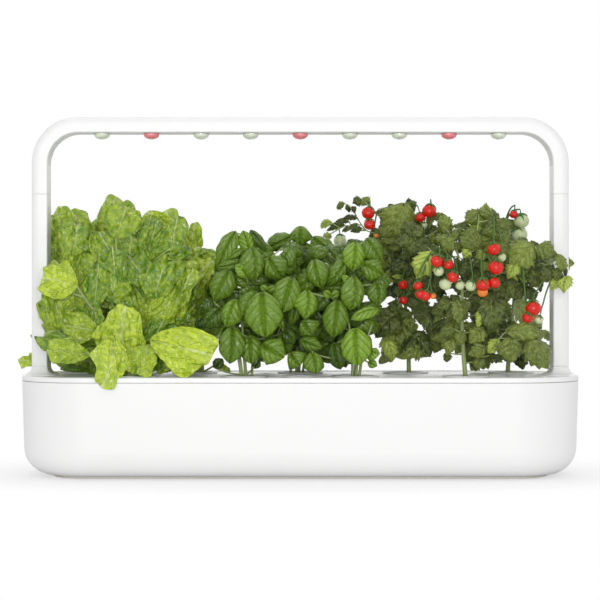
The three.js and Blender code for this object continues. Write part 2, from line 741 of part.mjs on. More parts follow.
// A round rod about the line between two points
function rodRings(from, to, fromRadius, toRadius, sides) {
  const along = to.clone().sub(from).normalize();
  const across = along.clone().cross(new THREE.Vector3(leafLean.z, leafLean.y, 0)).normalize();
  const other = along.clone().cross(across);
  return [[from, fromRadius], [to, toRadius]].map(([end, radius]) => rodAngles(sides).map((angle) => end.clone()
    .addScaledVector(across, radius * Math.cos(angle)).addScaledVector(other, radius * Math.sin(angle))));
}

const rodAngles = (sides) => Array.from({ length: sides }, (_, i) => i / sides * 2 * Math.PI);
const rodCap = (sides) => rodAngles(sides).map((angle) => new THREE.Vector2(Math.cos(angle), Math.sin(angle)));
const stemSides = 5;
const twigSides = 3;

const rod = (from, to, fromRadius, toRadius, sides) => [
  rodRings(from, to, fromRadius, toRadius, sides), rodCap(sides)];

const fruitLevelShares = [[0.25, -1], [0.85, -0.55], [1, 0.05], [0.75, 0.7], [0.2, 1]];

const fruitRings = (centre) => fruitLevelShares.map(([wide, high]) => rodCap(stemSides).map(({ x, y }) => (
  new THREE.Vector3(x, y, 0).multiplyScalar(wide * tomatoFruitRadius)
    .add(centre).add(new THREE.Vector3(0, 0, high * tomatoFruitRadius)))));

const kindHabits = {
  lettuce: { height: lettuceHeight, stemShare: 0.55, stemEnd: stemRadius, arch: 0.1, cup: 0.1 },
  basil: { height: basilHeight, stemShare: 0.8, stemEnd: twigRadius, arch: 0.15, cup: 0.4 },
  tomato: { height: tomatoHeight, stemShare: 0.9, stemEnd: twigRadius, arch: 0.15, cup: 0.4 },
};
const twigDropShare = 0.45;
const twigReachShare = 0.15;

// One upright stem, and the leaves and fruit that grow from it, each with its twig. Leaves face the front,
// but for those that hang over the back edge.
function plantGrowths(kind, index, origin) {
  const { height, stemShare, stemEnd, arch, cup } = kindHabits[kind];
  const top = origin.clone().setZ(origin.z + height * stemShare);
  const growths = [[rod(origin, top, stemRadius, stemEnd, stemSides)]];
  const placeOf = (x, y, z) => new THREE.Vector3(
    origin.x + x * podPitch, origin.y + y * podPitch, origin.z + z * height);
  const onStem = (z) => origin.clone().setZ(THREE.MathUtils.clamp(
    z, origin.z + stemRadius, top.z - twigRadius));
  for (const [x0, y0, z0, x1, y1, z1, width] of leafPlaceShares[index]) {
    const stalk = placeOf(x0, y0, z0);
    const tip = placeOf(x1, y1, z1);
    const root = onStem(stalk.z - twigDropShare * Math.hypot(x0, y0) * podPitch - stemRadius);
    const facing = Math.min(Math.sign(origin.y), Math.sign(y1));
    growths.push(leafParts({ stalk, tip, width: width * height, arch, cup, root, facing }));
  }
  for (const [x, y, z] of fruitPlaceShares[index] ?? []) {
    const centre = placeOf(x, y, z);
    growths.push([[fruitRings(centre), rodCap(stemSides)],
      rod(onStem(centre.z + tomatoFruitRadius), centre, twigRadius, twigRadius, twigSides)]);
  }
  return growths;
}

// Leaves that cross can shut in a pocket of air: its skin faces inwards, so its volume counts as negative
function withoutPockets(body) {
  const { vertProperties, triVerts } = body.getMesh();
  const parent = Array.from({ length: vertProperties.length / 3 }, (_, vertex) => vertex);
  const root = (vertex) => {
    while (parent[vertex] !== vertex) {
      parent[vertex] = parent[parent[vertex]];
      vertex = parent[vertex];
    }
    return vertex;
  };
  for (let i = 0; i < triVerts.length; i += 3) {
    parent[root(triVerts[i + 1])] = root(triVerts[i]);
    parent[root(triVerts[i + 2])] = root(triVerts[i]);
  }
  const corner = (vertex) => new THREE.Vector3().fromArray(vertProperties, 3 * vertex);
  const skins = new Map();
  for (let i = 0; i < triVerts.length; i += 3) {
    const [a, b, c] = triVerts.slice(i, i + 3);
    const skin = skins.get(root(a)) ?? { volume: 0, triangles: [] };
    skin.volume += corner(a).dot(new THREE.Vector3().crossVectors(corner(b), corner(c)));
    skin.triangles.push(a, b, c);
    skins.set(root(a), skin);
  }
  const outer = [...skins.values()].filter(({ volume }) => volume > 0);
  const geometry = new THREE.BufferGeometry();
  geometry.setAttribute('position', new THREE.Float32BufferAttribute(vertProperties, 3));
  geometry.setIndex(outer.flatMap(({ triangles }) => triangles));
  return solid(geometry);
}

function plant(kind, index) {
  const { x, y } = podPlace(index);
  const cell = plantCell(index);
  const origin = new THREE.Vector3(x, y, soilTopZ + seatGap);
  const solids = plantGrowths(kind, index, origin).flatMap((growth) => fitInCell(growth, cell, origin))
    .map(([rings, cap]) => loft(rings, cap));
  return withoutPockets(solids.reduce((whole, next) => whole.add(next)));
}

// Assembly

const garden = new THREE.Group();
const base = new THREE.Group();
const lidGroup = new THREE.Group();
const lamp = new THREE.Group();
garden.add(base, lidGroup, lamp);

base.add(
  piece('water_tank', waterTank(), whitePlastic()),
  piece('foot_pad', footPad(), creamRubber()),
);
lidGroup.add(
  piece('tray_lid', trayLid(), whitePlastic()),
  piece('float_guide', floatGuide(), whitePlastic()),
  piece('water_float', waterFloat(), floatBlue()),
);
const kinds = ['lettuce', 'basil', 'tomato'];
for (let index = 0; index < podCount; index++) {
  const kind = kinds[Math.floor(index / podCount * kinds.length)];
  const pod = new THREE.Group();
  pod.add(
    piece(`pod_cup_${index + 1}`, podCup(index), whitePlastic()),
    piece(`soil_plug_${index + 1}`, soilPlug(index), soilBrown()),
    piece(`${kind}_plant_${index + 1}`, plant(kind, index), leafFinish[kind]()),
  );
  lidGroup.add(pod);
}
lamp.add(
  piece('left_arm', arm(-1), whitePlastic()),
  piece('right_arm', arm(1), whitePlastic()),
  piece('lamp_arch', lampArch(), whitePlastic()),
  piece('lamp_cover', lampCover(), coverPlastic()),
  piece('lamp_board', lampBoard(), circuitGreen()),
  piece('timer_board', timerBoard(), circuitGreen()),
  piece('power_socket', powerSocket(), blackPlastic()),
  piece('light_button', lightButton(), whitePlastic()),
);
for (let index = 0; index < lensCount; index++) {
  const red = index % 3 === 1;
  lamp.add(piece(`lamp_lens_${index + 1}`, lampLens(index), red ? redLens() : clearLens()));
}

export default garden;
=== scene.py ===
# %% [markdown]
# # A countertop hydroponic garden
# The real object is a long white tank of water with a tray for a lid. Nine cups of growing sponge hang in
# the tray: three of lettuce, three of basil and three of small tomatoes. Two arms plug into the tray and
# carry an arch with nine lamp lenses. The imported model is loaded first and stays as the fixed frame. Each
# piece below is then modelled in its place, in metres, so nothing has to be fitted afterwards.

# %% Load the frame
import math
import random

import bmesh
import bpy
import numpy as np
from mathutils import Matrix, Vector


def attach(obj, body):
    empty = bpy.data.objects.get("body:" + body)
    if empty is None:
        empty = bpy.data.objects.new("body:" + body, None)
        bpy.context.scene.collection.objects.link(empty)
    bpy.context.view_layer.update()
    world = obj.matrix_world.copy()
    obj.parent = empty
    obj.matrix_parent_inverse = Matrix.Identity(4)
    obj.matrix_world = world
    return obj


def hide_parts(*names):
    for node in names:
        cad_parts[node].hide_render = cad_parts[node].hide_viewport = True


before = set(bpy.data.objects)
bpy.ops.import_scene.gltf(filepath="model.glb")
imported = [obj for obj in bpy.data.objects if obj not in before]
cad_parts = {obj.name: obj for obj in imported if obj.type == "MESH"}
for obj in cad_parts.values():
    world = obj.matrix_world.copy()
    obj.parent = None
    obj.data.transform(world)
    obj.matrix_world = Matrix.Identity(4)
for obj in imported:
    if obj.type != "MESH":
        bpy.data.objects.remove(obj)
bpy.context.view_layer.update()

# %% [markdown]
# ## Camera
# The photograph was taken from straight in front, a little below the middle of the plants. The camera
# stands 1.75 m away, level, and its lens makes 1600 pixels of one metre at a distance of one metre.
# The same numbers turn a pixel and a depth into a place, which the leaves use further down.

# %% The camera
CAMERA_DISTANCE = 1750  # in millimetres, from the middle of the garden
CAMERA = Vector((-0.0003, -1.750, 0.189))
IMAGE_SIZE = 600
FOCAL_PIXELS = 1600
SENSOR = 36

camera_data = bpy.data.cameras.new("camera")
camera_data.sensor_width = SENSOR
camera_data.lens = SENSOR * FOCAL_PIXELS / IMAGE_SIZE
camera = bpy.data.objects.new("camera", camera_data)
camera.location = CAMERA
camera.rotation_euler = (math.radians(90), 0, 0)
bpy.context.scene.collection.objects.link(camera)
bpy.context.scene.camera = camera


def at_pixel(column, row, depth):
    """The place seen at a pixel, at a depth (y) in the garden."""
    scale = (depth - CAMERA.y) / FOCAL_PIXELS
    half = IMAGE_SIZE / 2
    return Vector((CAMERA.x + (column - half) * scale, depth, CAMERA.z - (row - half) * scale))


middle_of_front = at_pixel(IMAGE_SIZE / 2, IMAGE_SIZE / 2, -0.09)
print("the middle of the image at the front of the tank:", tuple(round(c, 3) for c in middle_of_front))

# %% [markdown]
# ## Modelling helpers
# Most of the mouldings are a flat outline that is drawn out step by step: extruded, inset and extruded
# again. So the helpers select nothing, add a rounded plate, and walk the selected face along a profile.

# %% Helpers that start a piece
MM = 0.001
TOLERANCE = 0.01
SMOOTH_ANGLE = math.radians(35)


def select_none():
    if bpy.context.mode != "OBJECT":
        bpy.ops.object.mode_set(mode="OBJECT")
    bpy.ops.object.select_all(action="DESELECT")


def make_active(piece):
    """Selects one piece alone."""
    select_none()
    bpy.context.view_layer.objects.active = piece
    piece.select_set(True)


def named(name):
    piece = bpy.context.object
    piece.name = name
    piece.data.name = name
    return piece


def apply_place():
    bpy.ops.object.transform_apply(location=True, rotation=True, scale=True)


def edit_all():
    bpy.ops.object.mode_set(mode="EDIT")
    bpy.ops.mesh.select_all(action="SELECT")


def edit_done():
    bpy.ops.object.mode_set(mode="OBJECT")


def select_where(test):
    """In edit mode, selects the corners whose place passes the test."""
    mesh = bmesh.from_edit_mesh(bpy.context.object.data)
    for part in (*mesh.faces, *mesh.edges):
        part.select = False
    for corner in mesh.verts:
        corner.select = test(corner.co)
    mesh.select_flush_mode()
    bmesh.update_edit_mesh(bpy.context.object.data)


def rounded_plate(name, size, centre, left_radius, right_radius, segments, facing=1):
    """A plate with rounded corners, in millimetres, left in edit mode with its one face selected."""
    select_none()
    bpy.ops.mesh.primitive_plane_add(size=1, location=[c * MM for c in centre])
    plate = named(name)
    plate.scale = (size[0] * MM, size[1] * MM, 1)
    apply_place()
    edit_all()
    middle = centre[0] * MM
    select_where(lambda place: place.x < middle)
    bpy.ops.mesh.bevel(offset=left_radius * MM, segments=segments, affect="VERTICES")
    limit = middle + size[0] / 2 * MM - TOLERANCE * MM
    select_where(lambda place: place.x > limit)
    bpy.ops.mesh.bevel(offset=right_radius * MM, segments=segments, affect="VERTICES")
    bpy.ops.mesh.select_all(action="SELECT")
    if facing < 0:
        bpy.ops.mesh.flip_normals()
    return plate


def draw_in(steps):
    """Insets the selected face by each step, and moves it along its own direction as it goes."""
    for inset, along in steps:
        if inset == 0:
            direction = selected_normal()
            bpy.ops.mesh.extrude_region_move(
                TRANSFORM_OT_translate={"value": [c * along * MM for c in direction]})
        else:
            bpy.ops.mesh.inset(thickness=inset * MM, depth=along * MM, use_even_offset=True)


def selected_normal():
    mesh = bmesh.from_edit_mesh(bpy.context.object.data)
    return sum((face.normal for face in mesh.faces if face.select), Vector()).normalized()


def steps_from(levels):
    """Turns absolute (inset, height) levels into the steps between them."""
    return [(b[0] - a[0], b[1] - a[1]) for a, b in zip(levels, levels[1:])]


# %% Helpers that finish a piece
BLOCK_SEGMENTS = 4


def modify(piece, kind, **settings):
    """Adds a modifier with these settings and applies it."""
    make_active(piece)
    modifier = piece.modifiers.new(kind.title(), kind)
    for key, value in settings.items():
        setattr(modifier, key, value)
    bpy.ops.object.modifier_apply(modifier=modifier.name)


def cut(piece, *cutters, operation="DIFFERENCE"):
    """Cuts each tool out of the piece, or joins it on, and removes the tool."""
    for cutter in cutters:
        modify(piece, "BOOLEAN", object=cutter, operation=operation, solver="EXACT")
        bpy.data.objects.remove(cutter)


def smooth(piece, angle=SMOOTH_ANGLE):
    make_active(piece)
    bpy.ops.object.shade_smooth_by_angle(angle=angle)
    modify(piece, "WEIGHTED_NORMAL", keep_sharp=True, weight=80)


def rounded_block(name, size, centre, radius):
    """An upright block with rounded corners."""
    foot = (centre[0], centre[1], centre[2] - size[2] / 2)
    return closed(rounded_plate(name, size, foot, radius, radius, BLOCK_SEGMENTS), [(0, size[2])])


def outward(piece):
    """Merges doubles and points the faces outwards."""
    make_active(piece)
    edit_all()
    bpy.ops.mesh.remove_doubles(threshold=0.001 * MM)
    bpy.ops.mesh.normals_make_consistent(inside=False)
    edit_done()
    return piece


def closed(plate, steps):
    """Draws a new plate along the steps and makes a solid of it."""
    draw_in(steps)
    edit_done()
    return outward(plate)


def plain_box(name, size, centre):
    select_none()
    bpy.ops.mesh.primitive_cube_add(size=1, location=[c * MM for c in centre])
    box = named(name)
    box.scale = [c * MM for c in size]
    apply_place()
    return box


def turned(name, profile, centre=(0, 0), segments=48, through=False):
    """A round piece, drawn out from a filled circle through (radius, height) levels, in millimetres.
    Where it is open from end to end, its two end faces are bridged instead of kept."""
    radius, height = profile[0]
    select_none()
    bpy.ops.mesh.primitive_circle_add(
        vertices=segments, radius=radius * MM, fill_type="NGON",
        location=(centre[0] * MM, centre[1] * MM, height * MM))
    piece = named(name)
    apply_place()
    edit_all()
    for (r0, z0), (r1, z1) in zip(profile, profile[1:]):
        bpy.ops.mesh.extrude_region_move(TRANSFORM_OT_translate={"value": (0, 0, (z1 - z0) * MM)})
        bpy.ops.transform.resize(
            value=(r1 / r0, r1 / r0, 1), center_override=(centre[0] * MM, centre[1] * MM, z1 * MM))
    if through:
        mesh = bmesh.from_edit_mesh(piece.data)
        for face in mesh.faces:
            face.select_set(len(face.verts) > 4)
        bmesh.update_edit_mesh(piece.data)
        bpy.ops.mesh.bridge_edge_loops()
    edit_done()
    return outward(piece)


def copy_of(piece, name, offset):
    """A copy with its own mesh, moved in the mesh, so that its object stays at the origin."""
    twin = piece.copy()
    twin.data = piece.data.copy()
    twin.name = name
    twin.data.name = name
    bpy.context.scene.collection.objects.link(twin)
    for corner in twin.data.vertices:
        corner.co += Vector(offset) * MM
    return twin


def finish_piece(piece, body, slot, material, *nodes):
    """Gives a piece its finish and its body, and hides the nodes of the frame that it stands for."""
    if material is not None:
        piece.data.materials.clear()
        piece.data.materials.append(material)
    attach(piece, body)
    if nodes:
        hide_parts(*nodes)
    return piece


print("helpers ready")

# %% [markdown]
# ## White moulded plastic
# The housing is one satin white plastic. Its colour is even, so what makes it read as a moulding is a very
# fine grain, a gloss that varies a little, and soft shade. The grain is a node group, because the housing,
# the cups, the lamp cover, the foot and the float all carry it at their own strength.

# %% Node helpers
def feed(socket, value):
    """Sets an input of a node: to a value, or by a link from another node's output."""
    if isinstance(value, bpy.types.NodeSocket):
        socket.id_data.links.new(value, socket)
    else:
        socket.default_value = value


def feed_all(node, **values):
    """Feeds inputs by their names, with underscores for spaces."""
    for key, value in values.items():
        feed(node.inputs[key.replace("_", " ")], value)
    return node


def add_node(tree, kind, **values):
    return feed_all(tree.nodes.new(kind), **values)


def new_material(name):
    material = bpy.data.materials.new(name)
    material.use_nodes = True
    return material, material.node_tree, material.node_tree.nodes["Principled BSDF"]


def object_place(tree):
    """The place on the object, in metres, for textures."""
    return tree.nodes.new("ShaderNodeTexCoord").outputs["Object"]


def group_with(name, inputs, outputs):
    """An empty node group with float or vector inputs and float outputs."""
    group = bpy.data.node_groups.new(name, "ShaderNodeTree")
    for label, value in inputs:
        kind = "NodeSocketVector" if value is None else "NodeSocketFloat"
        socket = group.interface.new_socket(name=label, in_out="INPUT", socket_type=kind)
        if value is not None:
            socket.default_value = value
    for label in outputs:
        group.interface.new_socket(name=label, in_out="OUTPUT", socket_type="NodeSocketFloat")
    return group, group.nodes.new("NodeGroupInput"), group.nodes.new("NodeGroupOutput")


def use_group(tree, group, **values):
    node = tree.nodes.new("ShaderNodeGroup")
    node.node_tree = group
    return feed_all(node, **values)


def math_node(tree, operation, *values, clamp=False):
    """The result of a math node; a value may be a socket or a number."""
    node = tree.nodes.new("ShaderNodeMath")
    node.operation = operation
    node.use_clamp = clamp
    for socket, value in zip(node.inputs, values):
        feed(socket, value)
    return node.outputs[0]


def mix_colours(tree, factor, first, second):
    """The mix of two colours, each a socket or red, green and blue."""
    node = tree.nodes.new("ShaderNodeMix")
    node.data_type = "RGBA"
    feed(node.inputs[0], factor)
    for socket, colour in ((node.inputs[6], first), (node.inputs[7], second)):
        feed(socket, colour if isinstance(colour, bpy.types.NodeSocket) else (*colour, 1))
    return node.outputs[2]


def spread(tree, mask, low, high):
    """Spreads a mask of 0 to 1 over low to high."""
    return add_node(tree, "ShaderNodeMapRange", Value=mask, To_Min=low, To_Max=high).outputs[0]


def raised(tree, height, strength, distance):
    """The normal of a surface that is raised by a height."""
    return add_node(tree, "ShaderNodeBump", Strength=strength, Distance=distance, Height=height).outputs[0]


# %% Moulding grain
GLOSS_SPREAD = 0.08
GRAIN_DEPTH = 0.0001

grain_group, grain_in, grain_out = group_with(
    "moulding_grain", [("Vector", None), ("Scale", 900.0), ("Patch Scale", 14.0)], ["Height", "Patches"])
for result, scale, detail, roughness in (("Height", "Scale", 2.0, 0.6), ("Patches", "Patch Scale", 3.0, 0.5)):
    noise = add_node(grain_group, "ShaderNodeTexNoise", Vector=grain_in.outputs["Vector"],
                     Scale=grain_in.outputs[scale], Detail=detail, Roughness=roughness)
    feed(grain_out.inputs[result], noise.outputs[0])


def moulded(name, colour, roughness, grain=0.12, scale=900.0, coat=0.0, shade=0.04):
    """A moulded plastic: its colour, how rough it is, and how strongly the grain shows."""
    material, tree, shader = new_material(name)
    group = use_group(tree, grain_group, Vector=object_place(tree), Scale=scale)
    patches = group.outputs["Patches"]
    darker = [c * (1 - shade) for c in colour]
    feed_all(shader, Base_Color=mix_colours(tree, patches, darker, colour),
             Roughness=spread(tree, patches, roughness - GLOSS_SPREAD, roughness + GLOSS_SPREAD),
             Normal=raised(tree, group.outputs["Height"], grain, GRAIN_DEPTH),
             Coat_Weight=coat, Coat_Roughness=0.12)
    return material


white_plastic = moulded("satin_white_moulding", (0.90, 0.90, 0.898), 0.42, coat=0.15)
cup_plastic = moulded("matt_white_cup", (0.86, 0.86, 0.85), 0.5)
cover_plastic = moulded("matt_lamp_cover", (0.80, 0.81, 0.80), 0.5)
foot_rubber = moulded("cream_foot_rubber", (0.88, 0.84, 0.74), 0.8, grain=0.35, scale=500.0)
float_plastic = moulded("blue_float_foam", (0.16, 0.42, 0.66), 0.6, grain=0.5, scale=450.0, shade=0.15)
black_plastic = moulded("black_socket_moulding", (0.014, 0.014, 0.015), 0.45, grain=0.2)
print("plastics:", len(bpy.data.materials))

# %% [markdown]
# ## Water tank and foot
# The tank is a deep tub of rounded plan. Its walls lean in a few millimetres towards the floor and turn
# into it through a large round edge. It is a plate the size of the mouth, drawn downwards by insets that
# follow that profile. Solidify then gives the wall its thickness, inwards.

# %% Tank sizes and shape
GARDEN_LENGTH, GARDEN_DEPTH, CORNER = 600, 185, 75
TANK_TOP, TANK_BOTTOM, TANK_WALL = 102.6, 2.5, 3
TANK_DRAFT, TANK_ROUND, ROUND_STEPS = 3, 28, 14
PLAN_SEGMENTS = 28
FOOT_INSET, FOOT_GAP, FOOT_RECESS = 33, 0.3, 1


def plan_plate(name, inset, height, facing=1):
    radius = CORNER - inset
    return rounded_plate(
        name, (GARDEN_LENGTH - 2 * inset, GARDEN_DEPTH - 2 * inset), (0, 0, height),
        radius, radius, PLAN_SEGMENTS, facing)


def tank_level(step):
    angle = (1 - step / ROUND_STEPS) * math.pi / 2
    z = TANK_BOTTOM + TANK_ROUND * (1 - math.cos(angle))
    drafted = TANK_DRAFT * (TANK_TOP - z) / (TANK_TOP - TANK_BOTTOM)
    return (drafted + TANK_ROUND * (1 - math.sin(angle)), TANK_TOP - z)


tank_profile = [(0, 0)] + [tank_level(step) for step in range(ROUND_STEPS + 1)]
tank = plan_plate("tank_shell", 0, TANK_TOP, -1)
draw_in(steps_from(tank_profile))
draw_in([(FOOT_INSET - FOOT_GAP - tank_profile[-1][0], 0), (0, -FOOT_RECESS)])
edit_done()
modify(tank, "SOLIDIFY", thickness=TANK_WALL * MM, offset=-1, use_even_offset=True)
modify(tank, "BEVEL", width=0.4 * MM, segments=2, limit_method="ANGLE", angle_limit=math.radians(50))
smooth(tank)
finish_piece(tank, "tank", "white_plastic", white_plastic, "water_tank")

foot = plan_plate("foot_pad_moulding", FOOT_INSET, TANK_BOTTOM + FOOT_RECESS - FOOT_GAP, -1)
draw_in([(0, TANK_BOTTOM + FOOT_RECESS - FOOT_GAP - 0.8), (0.3, 0.5), (0.5, 0.3)])
edit_done()
make_active(foot)
edit_all()
select_where(lambda place: place.z > (TANK_BOTTOM + FOOT_RECESS - FOOT_GAP - TOLERANCE) * MM)
bpy.ops.mesh.edge_face_add()
edit_done()
outward(foot)
smooth(foot)
finish_piece(foot, "tank", "foot_rubber", foot_rubber, "foot_pad")
print("tank:", len(tank.data.polygons), "faces; foot:", len(foot.data.polygons), "faces")

# %% [markdown]
# ## Tray lid
# The lid is a tray with a rounded rim, a shallow floor, and a skirt that drops inside the tank. Its top
# and its underside are two plates that grow from the same edge line and are merged there. Two feet rise
# from it in a hollow curve to carry the arms. Ribs under the floor, the sockets for the arms and the ten
# round holes come last.

# %% Lid skin
LID_BOTTOM, LID_TOP, LID_EDGE = 103.2, 108.3, 1.8
TRAY_INSET, TRAY_FLOOR, LID_PLATE, TRAY_SLOPE = 9, 107.1, 2.4, 1
SKIRT_INSET, SKIRT_WALL, SKIRT_DEPTH = 3.5, 2, 10
EDGE_STEPS = 6


def edge_level(step):
    angle = step / EDGE_STEPS * math.pi / 2
    return (LID_EDGE * (1 - math.cos(angle)), LID_TOP - LID_EDGE * (1 - math.sin(angle)))


lid = plan_plate("tray_lid_moulding", 0, LID_BOTTOM, 1)
lid_levels = [(0, LID_BOTTOM)] + [edge_level(step) for step in range(EDGE_STEPS + 1)]
lid_levels += [(TRAY_INSET - 0.5, LID_TOP), (TRAY_INSET, LID_TOP - 0.15),
               (TRAY_INSET + TRAY_SLOPE - 0.2, TRAY_FLOOR + 0.15),
               (TRAY_INSET + TRAY_SLOPE + 0.3, TRAY_FLOOR)]
draw_in(steps_from(lid_levels))
edit_done()

underside = plan_plate("lid_underside", 0, LID_BOTTOM, -1)
draw_in([(SKIRT_INSET, 0), (0, SKIRT_DEPTH), (SKIRT_WALL, 0),
         (0, -(TRAY_FLOOR - LID_PLATE - LID_BOTTOM + SKIRT_DEPTH))])
edit_done()
make_active(lid)
underside.select_set(True)
bpy.ops.object.join()
outward(lid)
print("lid skin:", len(lid.data.vertices), "corners")

# %% Ribs under the lid
POD_COUNT, POD_PITCH, POD_ROW = 9, 59, 44
LID_UNDER = TRAY_FLOOR - LID_PLATE


def pod_place(number):
    """The middle of a pod, in millimetres: odd numbers stand in the back row."""
    return ((number - 5) * POD_PITCH, POD_ROW if number % 2 else -POD_ROW)


RIB_THICKNESS, RIB_HEIGHT, RIB_OVERLAP = 1.6, 7, 0.5
rib_length = 2 * (GARDEN_DEPTH / 2 - SKIRT_INSET - SKIRT_WALL + RIB_OVERLAP)
for number in range(1, POD_COUNT):
    x = (pod_place(number)[0] + pod_place(number + 1)[0]) / 2
    rib = plain_box(f"rib_{number}", (RIB_THICKNESS, rib_length, RIB_HEIGHT),
                    (x, 0, LID_UNDER + 1 - RIB_HEIGHT / 2))
    cut(lid, rib, operation="UNION")
print("ribs joined:", POD_COUNT - 1)

# %% Feet for the arms
ARCH_OUTER, ARM_THICK, ARM_DEPTH = 292.5, 18, 28
ARM_ROUND, ARM_INNER_ROUND = 8, 1.5
ARM_FOOT, ARM_TOP = 117, 304
SPIGOT, SPIGOT_ROUND, SPIGOT_LENGTH = (10, 19), 3.5, 14
FLARE_STEPS = 8
ARM_SEGMENTS = 10
BOSS_WALL, BOSS_FLOOR = 3, 2.7


def arm_plate(name, side, outset, height):
    """The section of the arms: rounded on the outer side, nearly square towards the plants."""
    outer, inner = ARM_ROUND + outset, ARM_INNER_ROUND + outset
    left, right = (outer, inner) if side < 0 else (inner, outer)
    return rounded_plate(
        name, (ARM_THICK + 2 * outset, ARM_DEPTH + 2 * outset),
        (side * (ARCH_OUTER - ARM_THICK / 2), 0, height), left, right, ARM_SEGMENTS)


def spigot_block(name, side, grow, bottom, top):
    return rounded_block(
        name, (SPIGOT[0] + 2 * grow, SPIGOT[1] + 2 * grow, top - bottom),
        (side * (ARCH_OUTER - ARM_THICK / 2), 0, (bottom + top) / 2), SPIGOT_ROUND + grow)


def arm_foot(side):
    flare = ARM_FOOT - LID_TOP
    tower = arm_plate("arm_foot", side, flare, TRAY_FLOOR - 1)
    levels = [(0, TRAY_FLOOR - 1), (0, LID_TOP)]
    for step in range(FLARE_STEPS - 1, -1, -1):
        angle = step / FLARE_STEPS * math.pi / 2
        levels.append((flare * math.cos(angle), ARM_FOOT - flare * math.sin(angle)))
    closed(tower, steps_from(levels))
    within = closed(plan_plate("within_plan", LID_EDGE / 2, TRAY_FLOOR - 3), [(0, 20)])
    cut(tower, within, operation="INTERSECT")
    boss_foot = ARM_FOOT - SPIGOT_LENGTH - BOSS_FLOOR
    boss = arm_plate("arm_boss", side, BOSS_WALL, boss_foot)
    return tower, closed(boss, [(0, TRAY_FLOOR - 0.5 - boss_foot)])


for side in (-1, 1):
    tower, boss = arm_foot(side)
    cut(lid, tower, boss, operation="UNION")
    cut(lid, spigot_block("socket_tool", side, 0.3, ARM_FOOT - SPIGOT_LENGTH - 0.3, ARM_FOOT + 3))
print("lid with arm feet:", len(lid.data.polygons), "faces")

# %% Round holes
CUP_RADIUS, GUIDE_RADIUS, HOLE_GAP = 22, 15.5, 0.5
HOLE_FROM, HOLE_TO = 90, 112
FLOAT_PLACE = (0, -48)


def round_tool(name, radius, bottom, top, centre, segments=64):
    return turned(name, [(radius, bottom), (radius, top)], centre, segments)


for number in range(1, POD_COUNT + 1):
    cut(lid, round_tool("pod_hole", CUP_RADIUS + HOLE_GAP, HOLE_FROM, HOLE_TO, pod_place(number)))
cut(lid, round_tool("filling_hole", GUIDE_RADIUS + HOLE_GAP, HOLE_FROM, HOLE_TO, FLOAT_PLACE))
smooth(lid)
finish_piece(lid, "lid", "white_plastic", white_plastic, "tray_lid")
print("lid finished:", len(lid.data.polygons), "faces")


# %% [markdown]
# ## Arms and lamp arch
# Each arm is one section drawn straight up, with a spigot under it and a socket in its top. The arch is the
# same section, drawn up one leg, spun round a corner, drawn along, spun again and drawn down. The channel
# for the lamps is a second, thinner sweep along the same line, cut out of the first.

# %% Arms
SEAT_GAP = 0.3


def arm(side, node):
    bar = closed(arm_plate(f"{node}_moulding", side, 0, ARM_FOOT + SEAT_GAP),
                 [(0, ARM_TOP - ARM_FOOT - SEAT_GAP)])
    cut(bar, spigot_block("arm_spigot", side, 0, ARM_FOOT - SPIGOT_LENGTH, ARM_FOOT + SEAT_GAP + 2),
        operation="UNION")
    cut(bar, spigot_block("arm_socket", side, 0.3, ARM_TOP - SPIGOT_LENGTH - 0.3, ARM_TOP + 3))
    smooth(bar)
    return finish_piece(bar, node, "white_plastic", white_plastic, node)


for side, node in ((-1, "left_arm"), (1, "right_arm")):
    print(node, "faces:", len(arm(side, node).data.polygons))

# %% Arch sweep
ARCH_TOP, ARCH_CORNER = 389, 51
ARCH_FOOT = ARM_TOP + SEAT_GAP
TURN_Z = ARCH_TOP - ARCH_CORNER
TURN_X = ARCH_OUTER - ARCH_CORNER
TURN_STEPS = 28


def turn_corner(x):
    bpy.ops.mesh.spin(steps=TURN_STEPS, angle=-math.pi / 2, center=(x * MM, 0, TURN_Z * MM), axis=(0, 1, 0))


def sweep_along_arch(foot):
    """Draws the selected section, which lies level at the foot of the left leg, over to the right leg."""
    bpy.ops.mesh.extrude_region_move(TRANSFORM_OT_translate={"value": (0, 0, (TURN_Z - foot) * MM)})
    turn_corner(-TURN_X)
    bpy.ops.mesh.extrude_region_move(TRANSFORM_OT_translate={"value": (2 * TURN_X * MM, 0, 0)})
    turn_corner(TURN_X)
    bpy.ops.mesh.extrude_region_move(TRANSFORM_OT_translate={"value": (0, 0, (foot - TURN_Z) * MM)})
    edit_done()
    return outward(bpy.context.object)


def strip_sweep(name, width, outer_depth, inner_depth, foot):
    """A flat strip of the section between two depths, counted inwards from the outer face."""
    middle = -ARCH_OUTER + (outer_depth + inner_depth) / 2
    select_none()
    bpy.ops.mesh.primitive_plane_add(size=1, location=(middle * MM, 0, foot * MM))
    strip = named(name)
    strip.scale = ((inner_depth - outer_depth) * MM, width * MM, 1)
    apply_place()
    edit_all()
    return sweep_along_arch(foot)


arch = arm_plate("lamp_arch_moulding", -1, 0, ARCH_FOOT)
sweep_along_arch(ARCH_FOOT)
print("arch height:", round(max(v.co.z for v in arch.data.vertices), 4),
      "length:", round(max(v.co.x for v in arch.data.vertices) * 2, 4))

# %% Channel, spigots and back openings of the arch
CHANNEL_WIDTH, CHANNEL_DEPTH = 20, 10
COVER_END = TURN_Z - 1.5
BAR_UNDER = ARCH_TOP - ARM_THICK
LENS_PITCH = 54.2
SOCKET_X = ARCH_OUTER - ARM_THICK / 2
SOCKET_Z, BUTTON_Z = ARCH_FOOT + 13, ARCH_FOOT + 26
BOARD_SPACE = (459, 15, 5.5)
SOCKET_HOLE, BUTTON_HOLE = [(4.8, 2.7), (4.8, 16)], [(4.35, 7.2), (4.35, 16)]


